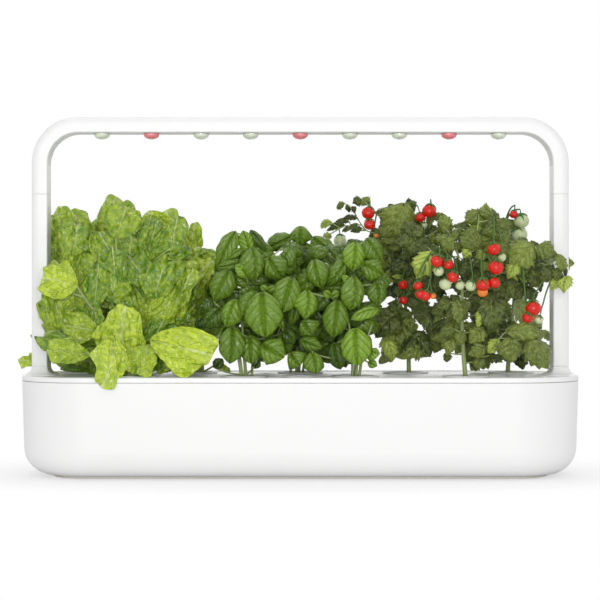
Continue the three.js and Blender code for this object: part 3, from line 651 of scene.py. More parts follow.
def backward_round(name, profile, z):
    """A turned piece laid along Y in the right leg: its levels are (radius, y)."""
    piece = turned(name, profile, (0, 0), 40)
    piece.rotation_euler = (math.radians(-90), 0, 0)
    piece.location = (SOCKET_X * MM, 0, z * MM)
    make_active(piece)
    apply_place()
    return outward(piece)


for side in (-1, 1):
    spigot = spigot_block("arch_spigot", side, 0, ARM_TOP - SPIGOT_LENGTH, ARCH_FOOT + 2)
    cut(arch, spigot, operation="UNION")
cut(arch, strip_sweep("channel", CHANNEL_WIDTH, ARM_THICK - CHANNEL_DEPTH, ARM_THICK + 1, COVER_END - 0.3))
cut(arch, plain_box("board_space", BOARD_SPACE, (0, 0, BAR_UNDER + CHANNEL_DEPTH + 1.75)))
cut(arch, backward_round("socket_hole", SOCKET_HOLE, SOCKET_Z))
cut(arch, backward_round("button_hole", BUTTON_HOLE, BUTTON_Z))
smooth(arch)
finish_piece(arch, "lamp", "white_plastic", white_plastic, "lamp_arch")
print("arch:", len(arch.data.polygons), "faces")

# %% [markdown]
# ## Lamp cover and lenses
# A matt strip closes the channel, level with the inner face, and nine small round lenses look out through
# holes in it. Six are clear with a pale greenish tint and three are red. One lens is turned from a circle
# and copied, so all nine are the same moulding.

# %% Lamp cover
cover = strip_sweep("lamp_cover_strip", CHANNEL_WIDTH - 0.6, ARM_THICK - 2, ARM_THICK, COVER_END)
for index in range(POD_COUNT):
    cut(cover, round_tool("lens_hole", 6.3, BAR_UNDER - 2, BAR_UNDER + 4, ((index - 4) * LENS_PITCH, 0), 40))
smooth(cover)
finish_piece(cover, "lamp", "cover_plastic", cover_plastic, "lamp_cover")
print("cover:", len(cover.data.polygons), "faces")


# %% Lens finishes
def lens_material(name, rim, middle):
    """A small moulded lens, deeper in colour at its rim."""
    material, tree, shader = new_material(name)
    facing = add_node(tree, "ShaderNodeLayerWeight", Blend=0.35)
    group = use_group(tree, grain_group, Vector=object_place(tree), Scale=700.0, Patch_Scale=120.0)
    patches = group.outputs["Patches"]
    feed_all(shader, Base_Color=mix_colours(tree, facing.outputs["Facing"], middle, rim),
             Normal=raised(tree, patches, 0.2, GRAIN_DEPTH),
             Roughness=math_node(tree, "MULTIPLY_ADD", patches, 0.1, 0.12),
             Coat_Weight=0.6, Coat_Roughness=0.05,
             Subsurface_Weight=0.4, Subsurface_Radius=(0.004, 0.004, 0.003))
    return material


clear_lens = lens_material("clear_greenish_lens", (0.50, 0.56, 0.42), (0.80, 0.84, 0.70))
red_lens = lens_material("red_lens", (0.62, 0.02, 0.04), (0.90, 0.30, 0.32))

# %% Nine lenses
LENS_RADIUS, LENS_HEIGHT, LENS_STEM = 8.6, 6.2, 6
LENS_TOP, LENS_EDGE, LENS_STEPS = 379.5, 1.0, 9
flange = BAR_UNDER - SEAT_GAP
lens_profile = [(LENS_STEM, LENS_TOP - SEAT_GAP), (LENS_STEM, flange), (LENS_RADIUS - 0.3, flange),
                (LENS_RADIUS, flange - 0.3), (LENS_RADIUS, flange - LENS_EDGE)]
for step in range(1, LENS_STEPS):
    angle = step / LENS_STEPS * math.pi / 2
    lens_profile.append((LENS_RADIUS * math.cos(angle),
                         flange - LENS_EDGE - (LENS_HEIGHT - LENS_EDGE) * math.sin(angle)))
lens_profile.append((0.4, flange - LENS_HEIGHT))
first_lens = turned("lens_1", lens_profile, (-4 * LENS_PITCH, 0), 32)
smooth(first_lens)
for number in range(1, POD_COUNT + 1):
    lens = first_lens if number == 1 else copy_of(
        first_lens, f"lens_{number}", ((number - 1) * LENS_PITCH, 0, 0))
    red = number % 3 == 2
    finish_piece(lens, "lamp", "red_lens" if red else "clear_lens", red_lens if red else clear_lens,
                 f"lamp_lens_{number}")
print("lenses:", POD_COUNT)

# %% [markdown]
# ## Power socket, light button and lamp boards
# A round socket for the supply plug and a small button sit in the back of the right leg. Both are turned
# lying along Y. The two circuit boards in the channel keep their simple solids and only get a finish:
# green solder mask with paler lanes in it.

# %% Socket and button
BACK_Y = ARM_DEPTH / 2
socket = backward_round("power_socket_moulding", [
    (4.5, 3), (4.5, BACK_Y - 0.3), (4.2, BACK_Y), (3.1, BACK_Y), (2.8, BACK_Y - 0.3), (2.8, 5), (1.0, 5),
    (1.0, BACK_Y - 2.3), (0.6, BACK_Y - 2)], SOCKET_Z)
smooth(socket)
finish_piece(socket, "lamp", "black_plastic", black_plastic, "power_socket")
button = backward_round("light_button_moulding", [
    (4, 9), (4, BACK_Y + 1.3), (3.8, BACK_Y + 1.75), (3.3, BACK_Y + 2), (2.2, BACK_Y + 1.9),
    (0.4, BACK_Y + 1.8)], BUTTON_Z)
smooth(button)
finish_piece(button, "button", "white_plastic", white_plastic, "light_button")
print("socket:", len(socket.data.polygons), "button:", len(button.data.polygons))

# %% Circuit boards
board_material, board_tree, board_shader = new_material("green_circuit_board")
lanes = add_node(
    board_tree, "ShaderNodeTexBrick", Vector=object_place(board_tree), Scale=90.0, Mortar_Size=0.08,
    Color1=(0.02, 0.11, 0.04, 1), Color2=(0.03, 0.13, 0.05, 1), Mortar=(0.09, 0.24, 0.08, 1))
feed_all(board_shader, Base_Color=lanes.outputs["Color"], Roughness=0.35,
         Normal=raised(board_tree, lanes.outputs["Fac"], 0.3, 0.0002))
for node in ("lamp_board", "timer_board"):
    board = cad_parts[node]
    board.data.materials.clear()
    board.data.materials.append(board_material)
print("boards finished")

# %% [markdown]
# ## Cups, sponge plugs and water float
# A cup is a tapered round moulding with a flange that rests on the tray, two long slots for the roots and a
# drain hole. The sponge in it is dark and fibrous, with a rough domed top, so its top is displaced by a
# cloud texture. One cup and one plug are made and copied eight times each.

# %% Cups
POD_TOP, CUP_DEPTH = 108.6, 60
CUP_FOOT_RADIUS, CUP_FLANGE_RADIUS, CUP_WALL = 17.5, 25.5, 1.3
cup_foot = POD_TOP - CUP_DEPTH
first_place = pod_place(1)
cup = turned("cup_1", [
    (6, cup_foot), (CUP_FOOT_RADIUS - 1, cup_foot), (CUP_FOOT_RADIUS, cup_foot + 1),
    (CUP_RADIUS, POD_TOP - 1.2), (CUP_FLANGE_RADIUS - 0.2, POD_TOP - 1.2), (CUP_FLANGE_RADIUS, POD_TOP - 0.9),
    (CUP_FLANGE_RADIUS, POD_TOP - 0.4), (CUP_FLANGE_RADIUS - 0.4, POD_TOP),
    (CUP_RADIUS - CUP_WALL + 0.5, POD_TOP),
    (CUP_RADIUS - CUP_WALL, POD_TOP - 0.5), (CUP_FOOT_RADIUS - CUP_WALL, cup_foot + CUP_WALL),
    (6, cup_foot + CUP_WALL)], first_place, 64, through=True)
cut(cup, plain_box("root_slot", (5, 60, 24), (first_place[0], first_place[1], cup_foot + 18)))
smooth(cup)

# %% Sponge plugs
soil_material, soil_tree, soil_shader = new_material("dark_growing_sponge")
soil_place = object_place(soil_tree)
crumbs = add_node(soil_tree, "ShaderNodeTexVoronoi", Vector=soil_place, Scale=420.0)
fibres = add_node(soil_tree, "ShaderNodeTexNoise", Vector=soil_place, Scale=260.0, Detail=6.0,
                  Roughness=0.7, Distortion=1.5)
feed_all(soil_shader, Roughness=0.95,
         Base_Color=mix_colours(soil_tree, fibres.outputs[0], (0.012, 0.008, 0.005), (0.11, 0.065, 0.035)),
         Normal=raised(soil_tree, crumbs.outputs["Distance"], 0.8, 0.0006))

SOIL_TOP = POD_TOP - 4
soil_profile = [(15.6, cup_foot + 1.7), (19.9, SOIL_TOP - 2.2)]
soil_profile += [(19.6 - 3.1 * ring, SOIL_TOP - 2.0 + 1.7 * math.sin(min(1, ring / 4) * math.pi / 2))
                 for ring in range(6)]
plug = turned("sponge_1", soil_profile + [(1.2, SOIL_TOP - 0.2)], first_place, 56)
crumble = bpy.data.textures.new("crumble", "CLOUDS")
crumble.noise_scale = 0.004
modify(plug, "DISPLACE", texture=crumble, strength=0.0012, mid_level=0.55, texture_coords="LOCAL")
smooth(plug, math.radians(60))

for number in range(1, POD_COUNT + 1):
    x, y = pod_place(number)
    offset = (x - first_place[0], y - first_place[1], 0)
    pod_cup = cup if number == 1 else copy_of(cup, f"cup_{number}", offset)
    finish_piece(pod_cup, f"pod_{number}", "cup_plastic", cup_plastic, f"pod_cup_{number}")
    pod_plug = plug if number == 1 else copy_of(plug, f"sponge_{number}", offset)
    finish_piece(pod_plug, f"pod_{number}", "soil", soil_material, f"soil_plug_{number}")
print("cups and plugs:", POD_COUNT)

# %% Float and its guide
GUIDE_DEPTH = 58
guide_foot = POD_TOP - GUIDE_DEPTH
guide = turned("float_guide_moulding", [
    (8, guide_foot), (GUIDE_RADIUS - 0.6, guide_foot), (GUIDE_RADIUS, guide_foot + 0.6),
    (GUIDE_RADIUS, POD_TOP - 1.2), (18.8, POD_TOP - 1.2), (19, POD_TOP - 1), (19, POD_TOP - 0.4),
    (18.6, POD_TOP), (GUIDE_RADIUS - 0.9, POD_TOP), (GUIDE_RADIUS - 1.3, POD_TOP - 0.4),
    (GUIDE_RADIUS - 1.3, guide_foot + 1.3), (8, guide_foot + 1.3)], FLOAT_PLACE, 64, through=True)
cut(guide, plain_box("water_slot", (60, 6, 22), (FLOAT_PLACE[0], FLOAT_PLACE[1], guide_foot + 13.6)))
smooth(guide)
finish_piece(guide, "lid", "white_plastic", white_plastic, "float_guide")
float_foot = guide_foot + 1.6
water_float = turned("float_moulding", [
    (12.6, float_foot), (13.3, float_foot + 0.3), (13.5, float_foot + 1), (13.5, float_foot + 13),
    (13.3, float_foot + 13.7), (12.6, float_foot + 14), (2.8, float_foot + 14), (2.5, float_foot + 14.4),
    (2.5, float_foot + 21.4), (2.1, float_foot + 21.9), (1.2, float_foot + 22)], FLOAT_PLACE, 48)
smooth(water_float)
finish_piece(water_float, "float", "float_plastic", float_plastic, "water_float")
print("guide and float finished")


# %% [markdown]
# ## Leaf finishes
# A leaf is never one green. It has a paler rib and side veins, patches of tone, a soft gloss on top and a
# duller, paler underside, and light comes through it. The vein pattern follows the blade's own UV map:
# across from edge to edge, and along from stalk to tip. It is a node group, used by all three plants. An
# attribute makes one leaf darker than the next: partly its own tone, partly painted shade and painted light
# for where it lies in the foliage. The creases between small puffed cells carry painted shade too.

# %% Vein group
vein_group, vein_in, vein_out = group_with(
    "leaf_veins", [("Vector", None), ("Count", 6.0), ("Slant", 0.3), ("Width", 0.08), ("Rib", 0.06)],
    ["Veins", "Midrib"])
halves = add_node(vein_group, "ShaderNodeSeparateXYZ", Vector=vein_in.outputs["Vector"])
from_rib = math_node(
    vein_group, "ABSOLUTE", math_node(vein_group, "MULTIPLY_ADD", halves.outputs["X"], 2.0, -1.0))
slanted = math_node(vein_group, "SUBTRACT", halves.outputs["Y"],
                    math_node(vein_group, "MULTIPLY", from_rib, vein_in.outputs["Slant"]))
to_vein = math_node(
    vein_group, "PINGPONG", math_node(vein_group, "MULTIPLY", slanted, vein_in.outputs["Count"]), 0.5)
for result, value, width in (("Veins", to_vein, "Width"), ("Midrib", from_rib, "Rib")):
    # 1 where the value is 0, fading to 0 at the width
    mask = add_node(vein_group, "ShaderNodeMapRange", Value=value, From_Max=vein_in.outputs[width],
                    To_Min=1, To_Max=0)
    mask.interpolation_type = "SMOOTHSTEP"
    feed(vein_out.inputs[result], mask.outputs[0])


# %% Leaf material
def surface_mix(tree, share, first, second):
    """Gives a material a mix of two shaders for its surface."""
    mix = tree.nodes.new("ShaderNodeMixShader")
    for socket, value in zip(mix.inputs, (share, first.outputs[0], second.outputs[0])):
        feed(socket, value)
    feed(tree.nodes["Material Output"].inputs["Surface"], mix.outputs[0])


def leaf_material(name, dark, bright, vein, vein_strength, count, slant, roughness, glow, cells, puff,
                  vein_rise, crease_shade_strength, shine, side_veins=1.0):
    """Upper side or underside of a leaf. Glow is the share of light that comes through the blade."""
    material, tree, shader = new_material(name)
    uv = tree.nodes.new("ShaderNodeUVMap")
    uv.uv_map = "blade"
    tone_and_painted_shade = tree.nodes.new("ShaderNodeAttribute")
    tone_and_painted_shade.attribute_name = "tone_and_painted_shade"
    place = object_place(tree)
    veins = use_group(tree, vein_group, Vector=uv.outputs[0], Count=count, Slant=slant, Width=0.10, Rib=0.07)
    side = math_node(tree, "MULTIPLY", veins.outputs["Veins"], side_veins)
    ribs = math_node(tree, "MAXIMUM", side, veins.outputs["Midrib"])
    patches = add_node(tree, "ShaderNodeTexNoise", Vector=place, Scale=60.0, Detail=4.0).outputs[0]
    shift = math_node(tree, "MULTIPLY_ADD", patches, 0.36, -0.18)
    # Between its finest veins the blade puffs up in small cells; its colour gets painted shade in the creases
    # and painted light in the middles of the cells
    net = add_node(tree, "ShaderNodeTexVoronoi", Vector=place, Scale=cells)
    net.feature = "SMOOTH_F1"
    from_cell = net.outputs["Distance"]
    painted_crease_shade = math_node(tree, "MULTIPLY_ADD", from_cell, -crease_shade_strength, crease_shade_strength / 3)
    # The leaf's tone with its painted shade, the random patches and the painted crease shade and light pick
    # its green
    level = math_node(tree, "ADD", math_node(tree, "ADD", tone_and_painted_shade.outputs["Fac"], shift), painted_crease_shade, clamp=True)
    green = mix_colours(tree, level, dark, bright)
    colour = mix_colours(tree, math_node(tree, "MULTIPLY", ribs, vein_strength), green, vein)
    relief = math_node(tree, "SUBTRACT", math_node(tree, "MULTIPLY", ribs, vein_rise), from_cell)
    normal = raised(tree, relief, 0.8, puff)
    feed_all(shader, Base_Color=colour, Normal=normal, Specular_IOR_Level=shine,
             Roughness=spread(tree, patches, roughness - 0.08, roughness + 0.12))
    through = add_node(tree, "ShaderNodeBsdfTranslucent", Normal=normal,
                       Color=mix_colours(tree, 0.35, colour, bright))
    surface_mix(tree, glow, shader, through)
    return material


# After the three colours: strength, number and slant of the veins, roughness, glow, cells in a metre, their
# puff in metres, rise of the veins, strength of the painted shade in the creases and shine
LEAF_FINISH = {
    "lettuce": (
        leaf_material("lettuce_upper_side", (0.12, 0.29, 0.006), (0.74, 0.90, 0.07), (0.86, 0.94, 0.46),
                      0.6, 6, 0.55, 0.22, 0.20, 200, 0.0055, 0.2, 0.9, 0.8, side_veins=0.45),
        leaf_material("lettuce_underside", (0.22, 0.40, 0.04), (0.68, 0.84, 0.20), (0.80, 0.90, 0.48),
                      0.6, 6, 0.55, 0.40, 0.20, 200, 0.0055, 0.2, 0.9, 0.4, side_veins=0.5)),
    "basil": (
        leaf_material("basil_upper_side", (0.025, 0.065, 0.003), (0.27, 0.46, 0.03), (0.16, 0.32, 0.02),
                      0.4, 4.5, 0.36, 0.25, 0.14, 420, 0.0010, -1.0, 0.3, 0.65),
        leaf_material("basil_underside", (0.06, 0.14, 0.015), (0.28, 0.46, 0.07), (0.36, 0.50, 0.15),
                      0.6, 4.5, 0.36, 0.42, 0.14, 420, 0.0010, 1.0, 0.3, 0.4)),
    "tomato": (
        leaf_material("tomato_upper_side", (0.012, 0.030, 0.004), (0.51, 0.64, 0.11), (0.56, 0.64, 0.20),
                      0.6, 5, 0.45, 0.36, 0.14, 340, 0.0016, -1.0, 0.4, 0.5),
        leaf_material("tomato_underside", (0.09, 0.14, 0.04), (0.48, 0.56, 0.20), (0.54, 0.62, 0.28),
                      0.6, 5, 0.45, 0.5, 0.12, 340, 0.0014, 1.0, 0.5, 0.4)),
}
print("leaf finishes:", sum(len(pair) for pair in LEAF_FINISH.values()))

# %% Stem and fruit finishes
stem_material = moulded("green_stem", (0.42, 0.52, 0.19), 0.5, grain=0.5, scale=500.0, shade=0.5)
calyx_material = moulded("green_calyx", (0.10, 0.22, 0.04), 0.55, grain=0.5, scale=600.0, shade=0.4)


def fruit_material(name, skin, blush):
    """A glossy fruit skin, a little lighter in soft patches, under a thin clear coat."""
    material, tree, shader = new_material(name)
    cloud = add_node(
        tree, "ShaderNodeTexNoise", Vector=object_place(tree), Scale=70.0, Detail=2.0).outputs[0]
    feed_all(shader, Base_Color=mix_colours(tree, cloud, skin, blush),
             Roughness=math_node(tree, "MULTIPLY_ADD", cloud, 0.12, 0.2),
             Specular_IOR_Level=0.4, Coat_Weight=0.15, Coat_Roughness=0.08,
             Subsurface_Weight=0.08, Subsurface_Radius=(0.003, 0.001, 0.0005))
    return material


ripe_skin = fruit_material("ripe_fruit_skin", (0.60, 0.006, 0.003), (0.80, 0.022, 0.008))
orange_skin = fruit_material("turning_fruit_skin", (0.80, 0.18, 0.02), (0.86, 0.32, 0.05))
green_skin = fruit_material("unripe_fruit_skin", (0.50, 0.60, 0.30), (0.66, 0.72, 0.46))

# %% [markdown]
# ## The shape of a leaf
# Each kind of leaf starts as a flat grid, whose corners are moved in code, because no modifier gives the
# frill of lettuce, the blisters of basil and the saw-toothed edge of tomato. First the blade gets its
# outline and its relief while flat. Then it is bent along a curved rib from its stalk to its tip. The
# places of the leaves in front were read from the photograph as stalk, tip and width; a seeded draw adds
# leaves behind them, facing the back, so that the plants are full from every side.

# %% Flat blades
PHASES = (0, 6.28)


def blade_grid(across, along):
    """Corners of a flat grid as (s, t): s from edge to edge, -1 to 1, and t from stalk to tip, 0 to 1."""
    select_none()
    bpy.ops.mesh.primitive_grid_add(x_subdivisions=across, y_subdivisions=along, size=2)
    grid = bpy.context.object
    places = np.array([corner.co[:2] for corner in grid.data.vertices])
    faces = np.array([face.vertices[:] for face in grid.data.polygons])
    bpy.data.objects.remove(grid)
    return places[:, 0], (places[:, 1] + 1) / 2, faces


def lettuce_blade(s, t, length, half, draw):
    """A fan whose whole round edge is lobed and ruffled, blistered between its veins."""
    a, b, c, d, e, f = (draw.uniform(*PHASES) for _ in range(6))
    angle = draw.uniform(1.05, 1.30) * s
    reach = (0.66 + 0.34 * np.cos(angle)) * (1 + 0.07 * np.sin(4.2 * s + a) + 0.02 * np.sin(9 * s + b))
    x = half * reach * np.sin(angle) * t ** 0.62 / 0.76
    y = length * reach * np.cos(angle) ** 0.65 * t
    edge = t ** 4
    ruffle = 0.17 * edge * np.sin(9 * s + c + 2 * t) + 0.07 * t ** 7 * np.sin(21 * s + d)
    waves = 0.16 * t ** 2 * np.sin(6 * s + f) * np.sin(5 * t + a)
    blister = (0.07 * np.sin(14 * s + e + 3 * t) * np.sin(17 * t + a + 5 * s)
               + 0.055 * np.sin(27 * s + d - 4 * t) * np.sin(30 * t + b + 3 * s)) * np.minimum(1, 2 * t)
    blister *= 1 - 0.6 * np.maximum(t, np.abs(s)) ** 12
    cup = draw.uniform(-0.35, 0.20)
    rib = -0.10 * np.exp(-(s / 0.10) ** 2) * (1 - t)
    z = half * (ruffle + waves + blister - cup * s ** 2 * t + rib)
    return x, y, z


def basil_blade(s, t, length, half, draw):
    """A pointed oval, domed from edge to edge, with the blade puffed up between its curved side veins."""
    a = draw.uniform(*PHASES)
    outline = np.maximum(0, 1 - np.abs(2 * t ** 0.88 - 1) ** 2.3) ** (0.5 + 0.22 * t)
    x = half * s * outline * (1 + 0.04 * np.sin(16 * t + a) * np.abs(s) ** 3)
    side = np.abs(s)
    along = t - 0.36 * side ** 1.4
    bulge = np.abs(np.sin(np.pi * 4.5 * along)) ** 0.8 * (1 - side ** 4) * np.minimum(1, 4 * side)
    dome = draw.uniform(0.35, 0.8) * side ** 2.2 * outline
    rib = 0.20 * np.exp(-(s / 0.13) ** 2)
    z = half * (0.22 * bulge * outline - rib - dome) - draw.uniform(0.02, 0.2) * length * t ** 3
    return x, length * t, z


def tomato_blade(s, t, length, half, draw):
    """A long oval with lobes and saw teeth that point to its tip, deeply veined and rolled at its edges."""
    a = draw.uniform(*PHASES)
    lobes = draw.choice((4, 5))
    teeth = 0.76 + 0.32 * np.mod(lobes * t + 0.05, 1)
    outline = np.sin(np.pi * t ** 0.75) ** 0.70 * (1 + (teeth - 1) * np.abs(s) ** 1.5)
    x = half * s * outline
    bulge = np.abs(np.sin(np.pi * lobes * (t - 0.30 * np.abs(s)))) * (1 - np.abs(s) ** 4)
    roll = draw.uniform(0.15, 0.7) * np.abs(s) ** 1.6 * outline
    wave = 0.16 * np.sin(9 * t + a) * s + 0.07 * np.sin(17 * t + 2 * a) * np.abs(s)
    rib = 0.16 * np.exp(-(s / 0.12) ** 2)
    z = half * (0.20 * bulge * outline - rib - roll + wave) - draw.uniform(0.0, 0.25) * length * t ** 3
    return x, length * t, z


BLADES = {"lettuce": lettuce_blade, "basil": basil_blade, "tomato": tomato_blade}
GRIDS = {"lettuce": blade_grid(60, 30), "basil": blade_grid(20, 26), "tomato": blade_grid(14, 32)}
COARSE_GRIDS = {"lettuce": blade_grid(36, 16), "basil": blade_grid(12, 14), "tomato": blade_grid(8, 20)}
print("grids:", {kind: len(grid[2]) for kind, grid in GRIDS.items()})


# %% Bending a blade along its rib
def bent_leaf(kind, grid, stalk, tip, width, roll, arch, to_back, draw):
    """Corners of one leaf: the flat blade laid along a curve from stalk to tip."""
    s, t, _ = grid
    axis = tip - stalk
    length = axis.length
    along = axis.normalized()
    towards = Vector((0, 1 if to_back else -1, 0.25))
    side = along.cross(towards).normalized()
    face = side.cross(along)
    turn = math.radians(roll)
    side, face = (side * math.cos(turn) + face * math.sin(turn),
                  face * math.cos(turn) - side * math.sin(turn))
    x, y, z = BLADES[kind](s, t, length, width / 2, draw)
    share = (y / length)[:, None]
    middle = (stalk + tip) / 2 + face * (2 * arch * length)
    start, bend, end = (np.array(p) for p in (stalk, middle, tip))
    spine = (1 - share) ** 2 * start + 2 * share * (1 - share) * bend + share ** 2 * end
    run = (1 - share) * (bend - start) + share * (end - bend)
    run /= np.linalg.norm(run, axis=1)[:, None]
    out = np.array(face) - (run @ np.array(face))[:, None] * run
    out /= np.linalg.norm(out, axis=1)[:, None]
    return spine + x[:, None] * np.array(side) + z[:, None] * out


# %% Meshes of leaves and stems
def joined_mesh(name, parts):
    """One mesh from parts of (corners, faces), or for leaves of (corners, faces, uv, and how dark the leaf
    is, partly painted shade).
    """
    starts = np.cumsum([0] + [len(part[0]) for part in parts])
    faces = [tuple(int(i) + int(start) for i in face)
             for part, start in zip(parts, starts) for face in part[1]]
    mesh = bpy.data.meshes.new(name)
    mesh.from_pydata(np.concatenate([part[0] for part in parts]).tolist(), [], faces)
    mesh.polygons.foreach_set("use_smooth", [True] * len(faces))
    if len(parts[0]) > 2:
        uv = np.concatenate([part[2] for part in parts])
        loops = np.zeros(len(mesh.loops), int)
        mesh.loops.foreach_get("vertex_index", loops)
        mesh.uv_layers.new(name="blade").data.foreach_set("uv", uv[loops].ravel())
        tones_and_painted_shade = np.concatenate([np.full(len(part[0]), part[3]) for part in parts])
        mesh.attributes.new("tone_and_painted_shade", "FLOAT", "POINT").data.foreach_set("value", tones_and_painted_shade)
    piece = bpy.data.objects.new(name, mesh)
    bpy.context.scene.collection.objects.link(piece)
    return piece


def tube(points, start_radius, end_radius, sides=7):
    """A round stem through the points, closed at both ends, as corners and faces."""
    points = [Vector(p) for p in points]
    corners, faces = [], []
    for index, point in enumerate(points):
        ahead = points[min(index + 1, len(points) - 1)] - points[max(index - 1, 0)]
        across = ahead.cross(Vector((0.3, 1, 0.1))).normalized()
        other = ahead.cross(across).normalized()
        radius = start_radius + (end_radius - start_radius) * index / (len(points) - 1)
        for side in range(sides):
            angle = side / sides * 2 * math.pi
            corners.append(point + across * radius * math.cos(angle) + other * radius * math.sin(angle))
    for ring in range(len(points) - 1):
        for side in range(sides):
            here, there = ring * sides + side, ring * sides + (side + 1) % sides
            faces.append((here, there, there + sides, here + sides))
    faces.append(tuple(range(sides))[::-1])
    faces.append(tuple(len(corners) - sides + side for side in range(sides)))
    return np.array([c[:] for c in corners]), faces


def curve_points(start, bend, end, count=9):
    """Points on the smooth curve from start to end that leans towards bend."""
    shares = [i / (count - 1) for i in range(count)]
    return [start * (1 - u) ** 2 + bend * (2 * u * (1 - u)) + end * u ** 2 for u in shares]


print("leaf tools ready")


# %% [markdown]
# ## Where the leaves grow
# Each row below is one leaf: the number of its pod, the pixel of its stalk, the pixel of its tip, its width
# in pixels, its depth in millimetres (less than 0 is in front of the middle) and its tone from dark to
# bright, which is partly painted shade and painted light: leaves in shadow are set dark, lit ones bright.
# Leaves keep to their own pod's part of the tray as far as the photograph allows, so that a pod can be
# lifted out past the others.

# %% Lettuce leaves
LETTUCE = [
    (1, 118, 245, 121, 201, 32, 45, 0.5), (1, 85, 262, 55, 212, 45, 30, 0.6),
    (1, 110, 268, 90, 230, 40, 15, 0.55), (2, 78, 285, 40, 278, 36, -60, 0.85),
    (2, 72, 292, 60, 306, 16, -50, 0.6), (1, 108, 320, 85, 260, 50, 8, 0.5),
    (2, 95, 300, 90, 340, 28, -35, 0.3), (2, 118, 368, 125, 308, 50, -55, 0.8),
    (2, 115, 335, 103, 385, 40, -98, 0.8), (2, 90, 355, 44, 350, 27, -80, 0.65),
    (1, 80, 345, 52, 312, 35, 20, 0.5), (2, 150, 345, 135, 377, 32, -72, 0.75),
    (2, 148, 325, 176, 295, 30, -40, 0.65), (2, 150, 340, 216, 355, 46, -82, 0.95),
    (3, 182, 290, 150, 217, 52, 20, 0.85), (3, 190, 262, 195, 225, 24, 40, 0.65),
    (3, 195, 268, 218, 254, 14, 30, 0.65), (3, 185, 300, 212, 262, 34, 12, 0.8),
    (2, 125, 300, 112, 248, 36, -15, 0.65), (2, 140, 290, 135, 243, 34, -10, 0.6),
    (2, 150, 310, 128, 275, 30, -25, 0.35), (2, 170, 330, 180, 270, 34, -20, 0.7),
    (3, 185, 335, 200, 290, 30, 8, 0.65), (2, 175, 350, 190, 333, 40, -50, 0.3),
    (2, 135, 330, 118, 285, 30, -30, 0.4), (1, 50, 358, 20, 362, 20, 60, 0.85),
    (1, 55, 350, 33, 330, 14, 50, 0.65), (2, 175, 360, 160, 370, 14, -40, 0.1),
    # The rows of tone 0.1 below, at the foot of the lettuce, are dark leaves set where it lies in shadow:
    # painted shade
    (3, 212, 366, 231, 370, 7, 10, 0.8), (1, 60, 369, 82, 369, 8, 10, 0.1),
]

# %% Basil leaves
BASIL = [
    (4, 236, 231, 218, 267, 17, -20, 0.6), (4, 250, 252, 243, 229, 15, -25, 0.8),
    (4, 250, 230, 267, 252, 9, -15, 0.2), (4, 242, 262, 216, 268, 10, -30, 0.5),
    (4, 243, 249, 228, 258, 8, -30, 0.5), (4, 252, 247, 256, 284, 26, -40, 0.55),
    (4, 247, 277, 236, 263, 12, -45, 0.9), (4, 268, 257, 284, 281, 24, -30, 0.5),
    (4, 230, 270, 213, 302, 24, -40, 0.5), (4, 212, 298, 199, 315, 14, -25, 0.2),
    (4, 222, 308, 203, 328, 20, -35, 0.25), (4, 236, 299, 225, 328, 22, -60, 0.7),
    (4, 203, 318, 196, 330, 12, -20, 0.1), (4, 262, 292, 265, 339, 34, -85, 0.65),
    (4, 258, 292, 242, 316, 24, -70, 0.5), (4, 292, 277, 281, 313, 26, -65, 0.55),
    (5, 301, 226, 300, 247, 23, 25, 0.6), (5, 292, 236, 265, 249, 16, 15, 0.5),
    (5, 303, 248, 293, 267, 18, 8, 0.8), (4, 290, 247, 280, 270, 16, -15, 0.5),
    (5, 312, 237, 337, 260, 20, 20, 0.5), (5, 306, 245, 330, 258, 10, 10, 0.6),
    (6, 314, 259, 322, 290, 20, -30, 0.55), (6, 346, 260, 327, 288, 16, -25, 0.5),
    (6, 356, 242, 353, 272, 21, -35, 0.85), (6, 366, 238, 382, 262, 20, -25, 0.5),
    (6, 362, 264, 386, 276, 22, -40, 0.55), (6, 354, 276, 352, 314, 24, -55, 0.6),
    (6, 376, 282, 379, 307, 19, -45, 0.45), (4, 297, 300, 291, 326, 12, -40, 0.4),
    (6, 308, 290, 305, 320, 24, -60, 0.75), (6, 303, 320, 312, 336, 22, -55, 0.5),
    (6, 338, 300, 333, 340, 24, -60, 0.55), (6, 355, 328, 357, 367, 28, -85, 0.9),
    (6, 378, 309, 350, 317, 12, -70, 0.85), (4, 233, 327, 230, 366, 24, -75, 0.5),
    (4, 250, 335, 251, 364, 21, -70, 0.5), (4, 262, 345, 285, 358, 26, -80, 0.65),
    (4, 290, 353, 300, 366, 20, -75, 0.6), (6, 312, 352, 317, 373, 19, -85, 0.6),
    (6, 300, 340, 322, 348, 14, -60, 0.5), (4, 283, 330, 296, 344, 14, -45, 0.2),
    (6, 366, 355, 380, 352, 14, -60, 0.85), (6, 368, 362, 377, 366, 8, -60, 0.85),
    (6, 334, 342, 340, 372, 15, -50, 0.2), (4, 277, 348, 283, 341, 8, -60, 0.5),
    (4, 268, 292, 261, 286, 7, -60, 0.7), (4, 268, 292, 275, 286, 7, -60, 0.7),
    (6, 331, 297, 324, 291, 8, -50, 0.7), (6, 331, 297, 339, 292, 8, -50, 0.7),
    (6, 350, 283, 342, 275, 8, -45, 0.85), (4, 283, 329, 278, 318, 7, -60, 0.5),
    (4, 278, 287, 276, 314, 14, -50, 0.15), (4, 214, 368, 223, 359, 10, -40, 0.1),
    (4, 253, 368, 260, 361, 8, -40, 0.1),
]

